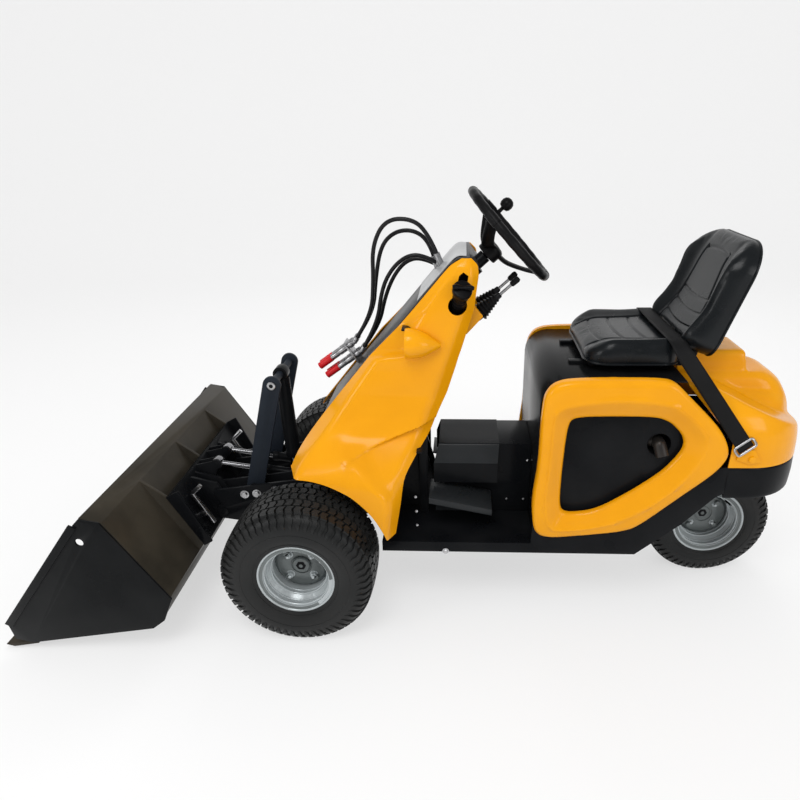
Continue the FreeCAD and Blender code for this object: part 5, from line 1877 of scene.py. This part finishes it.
# ------------------------------------------------------------------ lap belt
@dataclass
class LapBelt:
    """Webbing over the cushion's rear to a bright slotted bar at each side of the tail.

    Attributes:
        width: width of the webbing.
        webbing: its thickness.
        length: its whole length, in metres; not used.
        count: points on half of the line.
        half: the line from the middle to the left end.
    """

    width: float = 46.0
    webbing: float = 2.5
    length: float = 1.14
    count: int = 72
    half: tuple = ((-1082, 0, 870.5), (-1082, 90, 871), (-1082, 160, 871.5), (-1085, 196, 867),
                   (-1094, 221, 849), (-1112, 232, 822), (-1180, 256, 729), (-1240, 278, 646),
                   (-1285, 295, 584))

    def line(self) -> np.ndarray:
        """Middle line from the right end to the left end."""
        left = spline(self.half, self.count)
        return np.vstack([(left * (1, -1, 1))[::-1], left[1:]])

    def strap(self) -> np.ndarray:
        """The webbing as a ruled strip: its width lies along the machine, square to the run.

        Returns:
            The grid.
        """
        path = self.line()
        run = np.gradient(path, axis=0)
        run /= np.linalg.norm(run, axis=1)[:, None]
        wide = np.array((1.0, 0, 0)) - run * run[:, :1]
        wide /= np.linalg.norm(wide, axis=1)[:, None]
        share = np.linspace(-0.5, 0.5, 7)
        return path[:, None] + wide[:, None] * (share * self.width)[None, :, None]

    def bar(self) -> Forms:
        """Slotted bars of bright rod, bent square round each end of the webbing.

        Returns:
            The forms.
        """
        forms = Forms()
        for side in (-1, 1):
            end, before = np.array(self.half[-1]) * (1, side, 1), np.array(self.half[-3]) * (1, side, 1)
            run = unit(end - before)
            wide = unit(np.array((1.0, 0, 0)) - run * run[0])
            corners = [end + run * a + wide * b for a, b in ((5, -30), (5, 30), (-20, 30), (-20, -30))]
            loop = rounded_loop(np.array(corners), 7)
            forms.tube(loop, 3.6, 10, loop=True)
        return forms

    def build(self) -> list:
        """Builds the belt and its bars.

        Returns:
            The new objects.
        """
        bars = new_object("belt_bars", self.bar().mesh("belt_bars"), STEEL, "chassis")
        strap = new_object("lap_belt", surface("lap_belt", self.strap()), WEBBING, "chassis", ("seat_belt",))
        thick(strap, self.webbing, (-1150, 0, 300))
        return [strap, bars]


def rounded_loop(corners: np.ndarray, reach: float) -> np.ndarray:
    """A closed polyline with a quadratic curve round each corner.

    Args:
        corners: (n, 3) corners.
        reach: how far a curve reaches from its corner.
    Returns:
        The loop's points.
    """
    line = []
    for i in range(len(corners)):
        a, b, c = corners[i - 1], corners[i], corners[(i + 1) % len(corners)]
        q0, q1 = b + unit(a - b) * reach, b + unit(c - b) * reach
        line += [(1 - t) ** 2 * q0 + 2 * t * (1 - t) * b + t * t * q1 for t in np.linspace(0, 1, 7)]
    return np.array(line)


# ------------------------------------------------------------------ small hardware
BOLTS = (  # point on the left face, half width over the corners, body
    ((230, 151.5, 335), 10, "boom"), ((189, 151.5, 339), 10, "boom"), ((127, 151.5, 355), 9, "boom"),
    ((-40, 151.5, 352), 9, "boom"), ((-433, 285.2, 218), 7, "chassis"),
)
SCREWS = ((-694, 95.5, 440), (-631, 95.5, 296), (-687, 95.5, 296), (-340, 250.5, 391), (-342, 250.5, 340),
          (-343, 250.5, 289))


@dataclass
class Hardware:
    """Bolt heads on both sides and the tapped heads of the main pins."""

    def build(self) -> list:
        """Builds one piece of hardware for each body, and the recess behind the exhaust.

        Returns:
            The new objects.
        """
        by_body = {}
        for spot, size, body in BOLTS:
            forms = by_body.setdefault(body, Forms())
            for side in (1, -1):
                at, way = np.array(spot) * (1, side, 1), (0, side, 0)
                forms.turned([(0, size * 1.45), (1.6, size * 1.45), (1.7, size)], at, way, 20)
                forms.hexagon(at, way, size, size * 0.7)
        self.pin_ends(by_body["boom"])
        for x, y, z in SCREWS:
            for side in (1, -1):
                by_body["chassis"].turned([(0, 5), (1.5, 4.8), (2.6, 3.2), (3.0, 0.5)], (x, side * y, z),
                                          (0, side, 0), 14)
        made = [new_object("bolts_" + body, forms.mesh("bolts_" + body), [STEEL, BLACK], body)
                for body, forms in by_body.items()]
        return made + [new_object("exhaust_recess", self.recess().mesh("exhaust_recess"), BLACK, "chassis")]

    def pin_ends(self, forms: Forms) -> None:
        """Bright washers with a dark tapped middle on the uprights' top pin.

        Args:
            forms: takes the washers.
        """
        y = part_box("uprights")[1][1] * 1000
        for side in (1, -1):
            at = (107, side * y, 705)
            forms.turned([(0, 13), (1.6, 13), (2.2, 12), (2.2, 7)], at, (0, side, 0), 24)
            forms.turned([(0, 6.5), (2.6, 6.5), (2.7, 5)], at, (0, side, 0), 16, 1)

    def recess(self) -> Forms:
        """Dark cups behind the exhaust's openings in the inner panels.

        Returns:
            The forms.
        """
        forms = Forms()
        for side in (1, -1):
            forms.turned([(0, 62), (0, 34), (-56, 34), (-56, 8), (-60, 8), (-60, 38), (-4, 38), (-4, 62)],
                         (-1055, side * 242, 575), (0, side, 0), 32, loop=True)
        return forms


# ------------------------------------------------------------------ carried-over steel
@dataclass
class Steelwork:
    """Plates, tubes and castings whose CAD form is already right.

    Attributes:
        items: node, finish and edge rounding.
    """

    items: tuple = (
        ("main_frame", BLACK, 1.5), ("steering_head", BLACK, 1.5), ("wheel_motors", BLACK, 1.5),
        ("steering_knuckle", BLACK, 2.0), ("console_frame", BLACK, 1.0), ("centre_tunnel", BLACK, 3.0),
        ("footrests", FOOTWELL, 3.0), ("inner_panels", BLACK, 0.8), ("engine_block", IRON, 6.0),
        ("exhaust_elbow", PIPE, 0.8), ("seat_base", BLACK, 0.8), ("lift_arms", BLACK, 1.5),
        ("uprights", BLUE_GREY, 1.5), ("tool_coupler", BLACK, 1.5), ("latch_pins", STEEL, 0.8),
        ("bucket_shell", BUCKET, 1.2), ("bucket_sides", BUCKET_SIDE, 3.0), ("cutting_edge", BUCKET, 1.2),
        ("lift_barrel", BLACK, 1.2), ("lift_rod", CHROME, 1.0), ("tilt_barrels", BLACK, 1.0),
        ("tilt_rods", CHROME, 1.0),
        ("slope_cover", COVER, 1.5), ("steering_column", BLACK, 1),
        ("engine_deck", DECK, 3.0), ("belt_anchors", YELLOW, 0.6),
        ("hose_fittings", STEEL, 0.6), ("hose_couplers", STEEL, 0.5), ("coupler_caps", RED, 1.5),
    )

    def build(self) -> list:
        """Every listed node, dressed."""
        return [dress(node, finish, bevel) for node, finish, bevel in self.items]


# ------------------------------------------------------------------ studio
@dataclass(frozen=True)
class Studio:
    """Camera, soft lights and the pale floor.

    Attributes:
        eye: the camera's place.
        yaw: its turn in radians.
        pitch: how far it looks down.
        roll: its turn about its own axis.
        lens: focal length.
        shift: shift of the frame.
        share: part of the floor's look that is plain white.
        world: strength of the world's light.
        to_camera: what is added to it for the camera.
        in_gloss: what is added to it in gloss.
    """

    eye: tuple = (-480.9, 1996.7, 1423.8)
    yaw: float = 0.0518
    pitch: float = 0.4257
    roll: float = 0.0151
    lens: float = 29.60
    shift: tuple = (-0.0384, 0.0323)
    share: float = 0.6
    world: float = 0.80
    to_camera: float = 0.12
    in_gloss: float = -0.52

    def build(self) -> None:
        """Makes the stage: camera, floor, lights and the plain view transform."""
        self.camera()
        self.floor()
        self.lights()
        bpy.context.scene.view_settings.view_transform = "Standard"

    def camera(self) -> None:
        """The camera looks along f, with r to the right and d down the picture."""
        f = Vector((math.sin(self.yaw) * math.cos(self.pitch), -math.cos(self.yaw) * math.cos(self.pitch),
                    -math.sin(self.pitch)))
        r = f.cross(Vector((0, 0, 1))).normalized()
        d = f.cross(r)
        right = r * math.cos(self.roll) + d * math.sin(self.roll)
        down = d * math.cos(self.roll) - r * math.sin(self.roll)
        data = bpy.data.cameras.new("camera")
        data.lens = self.lens
        data.sensor_width = 36.0
        data.shift_x, data.shift_y = self.shift
        data.clip_start, data.clip_end = 0.05, 60
        obj = bpy.data.objects.new("camera", data)
        bpy.context.scene.collection.objects.link(obj)
        turn = Matrix((right, -down, -f)).transposed().to_4x4()
        obj.matrix_world = Matrix.Translation(Vector(place(self.eye))) @ turn
        bpy.context.scene.camera = obj

    def floor(self) -> None:
        """A pale floor that sweeps up far behind the object, so that no horizon shows."""
        turn = np.linspace(0, math.pi / 2, 16)
        sweep = [(-4.5 - 3 * math.sin(a), 3 - 3 * math.cos(a)) for a in turn]
        line = [(12.0, 0.0), (2.0, 0.0), *sweep, (-7.5, 9)]
        rows = np.array([[(x, y, z) for x in np.linspace(-14, 14, 8)] for y, z in line])
        mesh = mesh_from("floor", rows.reshape(-1, 3), grid_faces(len(line), 8))
        material = bpy.data.materials.new("floor_pale")
        material.use_nodes = True
        n = material.node_tree.nodes
        noise = n.new("ShaderNodeTexNoise")
        noise.inputs["Scale"].default_value = 1.5
        ramp = n.new("ShaderNodeValToRGB")
        ramp.color_ramp.elements[0].color = (0.83, 0.83, 0.83, 1)
        ramp.color_ramp.elements[1].color = (0.87, 0.87, 0.87, 1)
        material.node_tree.links.new(noise.outputs["Fac"], ramp.inputs["Fac"])
        material.node_tree.links.new(ramp.outputs["Color"], n["Principled BSDF"].inputs["Base Color"])
        n["Principled BSDF"].inputs["Roughness"].default_value = 0.85
        self.lift(material)
        mesh.materials.append(material)
        obj = bpy.data.objects.new("floor", mesh)
        bpy.context.scene.collection.objects.link(obj)

    def lift(self, material: bpy.types.Material) -> None:
        """Mixes plain white into what the camera, gloss and glass see of the floor, its shadows kept.

        Args:
            material: the floor's material.
        """
        n, link = material.node_tree.nodes, material.node_tree.links.new
        path, white = n.new("ShaderNodeLightPath"), n.new("ShaderNodeEmission")
        mix = n.new("ShaderNodeMixShader")
        seen = path.outputs["Is Camera Ray"]
        for name in ("Is Glossy Ray", "Is Transmission Ray"):
            both = n.new("ShaderNodeMath")
            both.operation = "MAXIMUM"
            link(seen, both.inputs[0])
            link(path.outputs[name], both.inputs[1])
            seen = both.outputs[0]
        part = n.new("ShaderNodeMath")
        part.operation = "MULTIPLY"
        part.inputs[1].default_value = self.share
        link(seen, part.inputs[0])
        link(part.outputs[0], mix.inputs["Fac"])
        link(n["Principled BSDF"].outputs[0], mix.inputs[1])
        link(white.outputs[0], mix.inputs[2])
        link(mix.outputs[0], n["Material Output"].inputs["Surface"])

    def lights(self) -> None:
        """An even world, paler to the camera and dimmer in gloss, and four broad lamps."""
        world = bpy.data.worlds.new("studio")
        world.use_nodes = True
        n, link = world.node_tree.nodes, world.node_tree.links.new
        path, strength = n.new("ShaderNodeLightPath"), None
        for name, change in (("Is Camera Ray", self.to_camera), ("Is Glossy Ray", self.in_gloss)):
            add = n.new("ShaderNodeMath")
            add.operation = "MULTIPLY_ADD"
            add.inputs[1].default_value, add.inputs[2].default_value = change, self.world
            link(path.outputs[name], add.inputs[0])
            if strength:
                link(strength, add.inputs[2])
            strength = add.outputs[0]
        link(strength, n["Background"].inputs["Strength"])
        n["Background"].inputs["Color"].default_value = (1, 1, 1, 1)
        bpy.context.scene.world = world
        for name, spot, aim, size, power in (
                ("key", (0.4, 2.6, 4.2), (0, 0, 0.5), 1.8, 62),
                ("fill", (-3.6, 3.4, 1.8), (-0.6, 0, 0.5), 1.6, 30),
                ("front", (3.4, 2.6, 2.2), (0.4, 0, 0.4), 1.4, 32),
                ("back", (-0.5, -3.2, 3.4), (0, 0, 0.5), 2.4, 45)):
            data = bpy.data.lights.new(name, "AREA")
            data.size, data.energy = size, power
            obj = bpy.data.objects.new(name, data)
            obj.matrix_world = Matrix.Translation(spot) @ (
                Vector(spot) - Vector(aim)).to_track_quat("Z", "Y").to_matrix().to_4x4()
            obj.visible_glossy = name != "back"
            bpy.context.scene.collection.objects.link(obj)


def main() -> None:
    """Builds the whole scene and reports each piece."""
    logging.basicConfig(level=logging.INFO, format="%(name)s: %(message)s")
    Studio().build()
    for part in (Steelwork(), Wheels(), Hoses(), Cowls(), CoverPlate(), TunnelCover(), BayPanels(), Tail(),
                 Seat(), LapBelt(), Steering(), Controls(), Hardware()):
        for piece in part.build():
            LOG.info("%s: %s", type(part).__name__, piece.name)


if __name__ == "__main__":
    main()
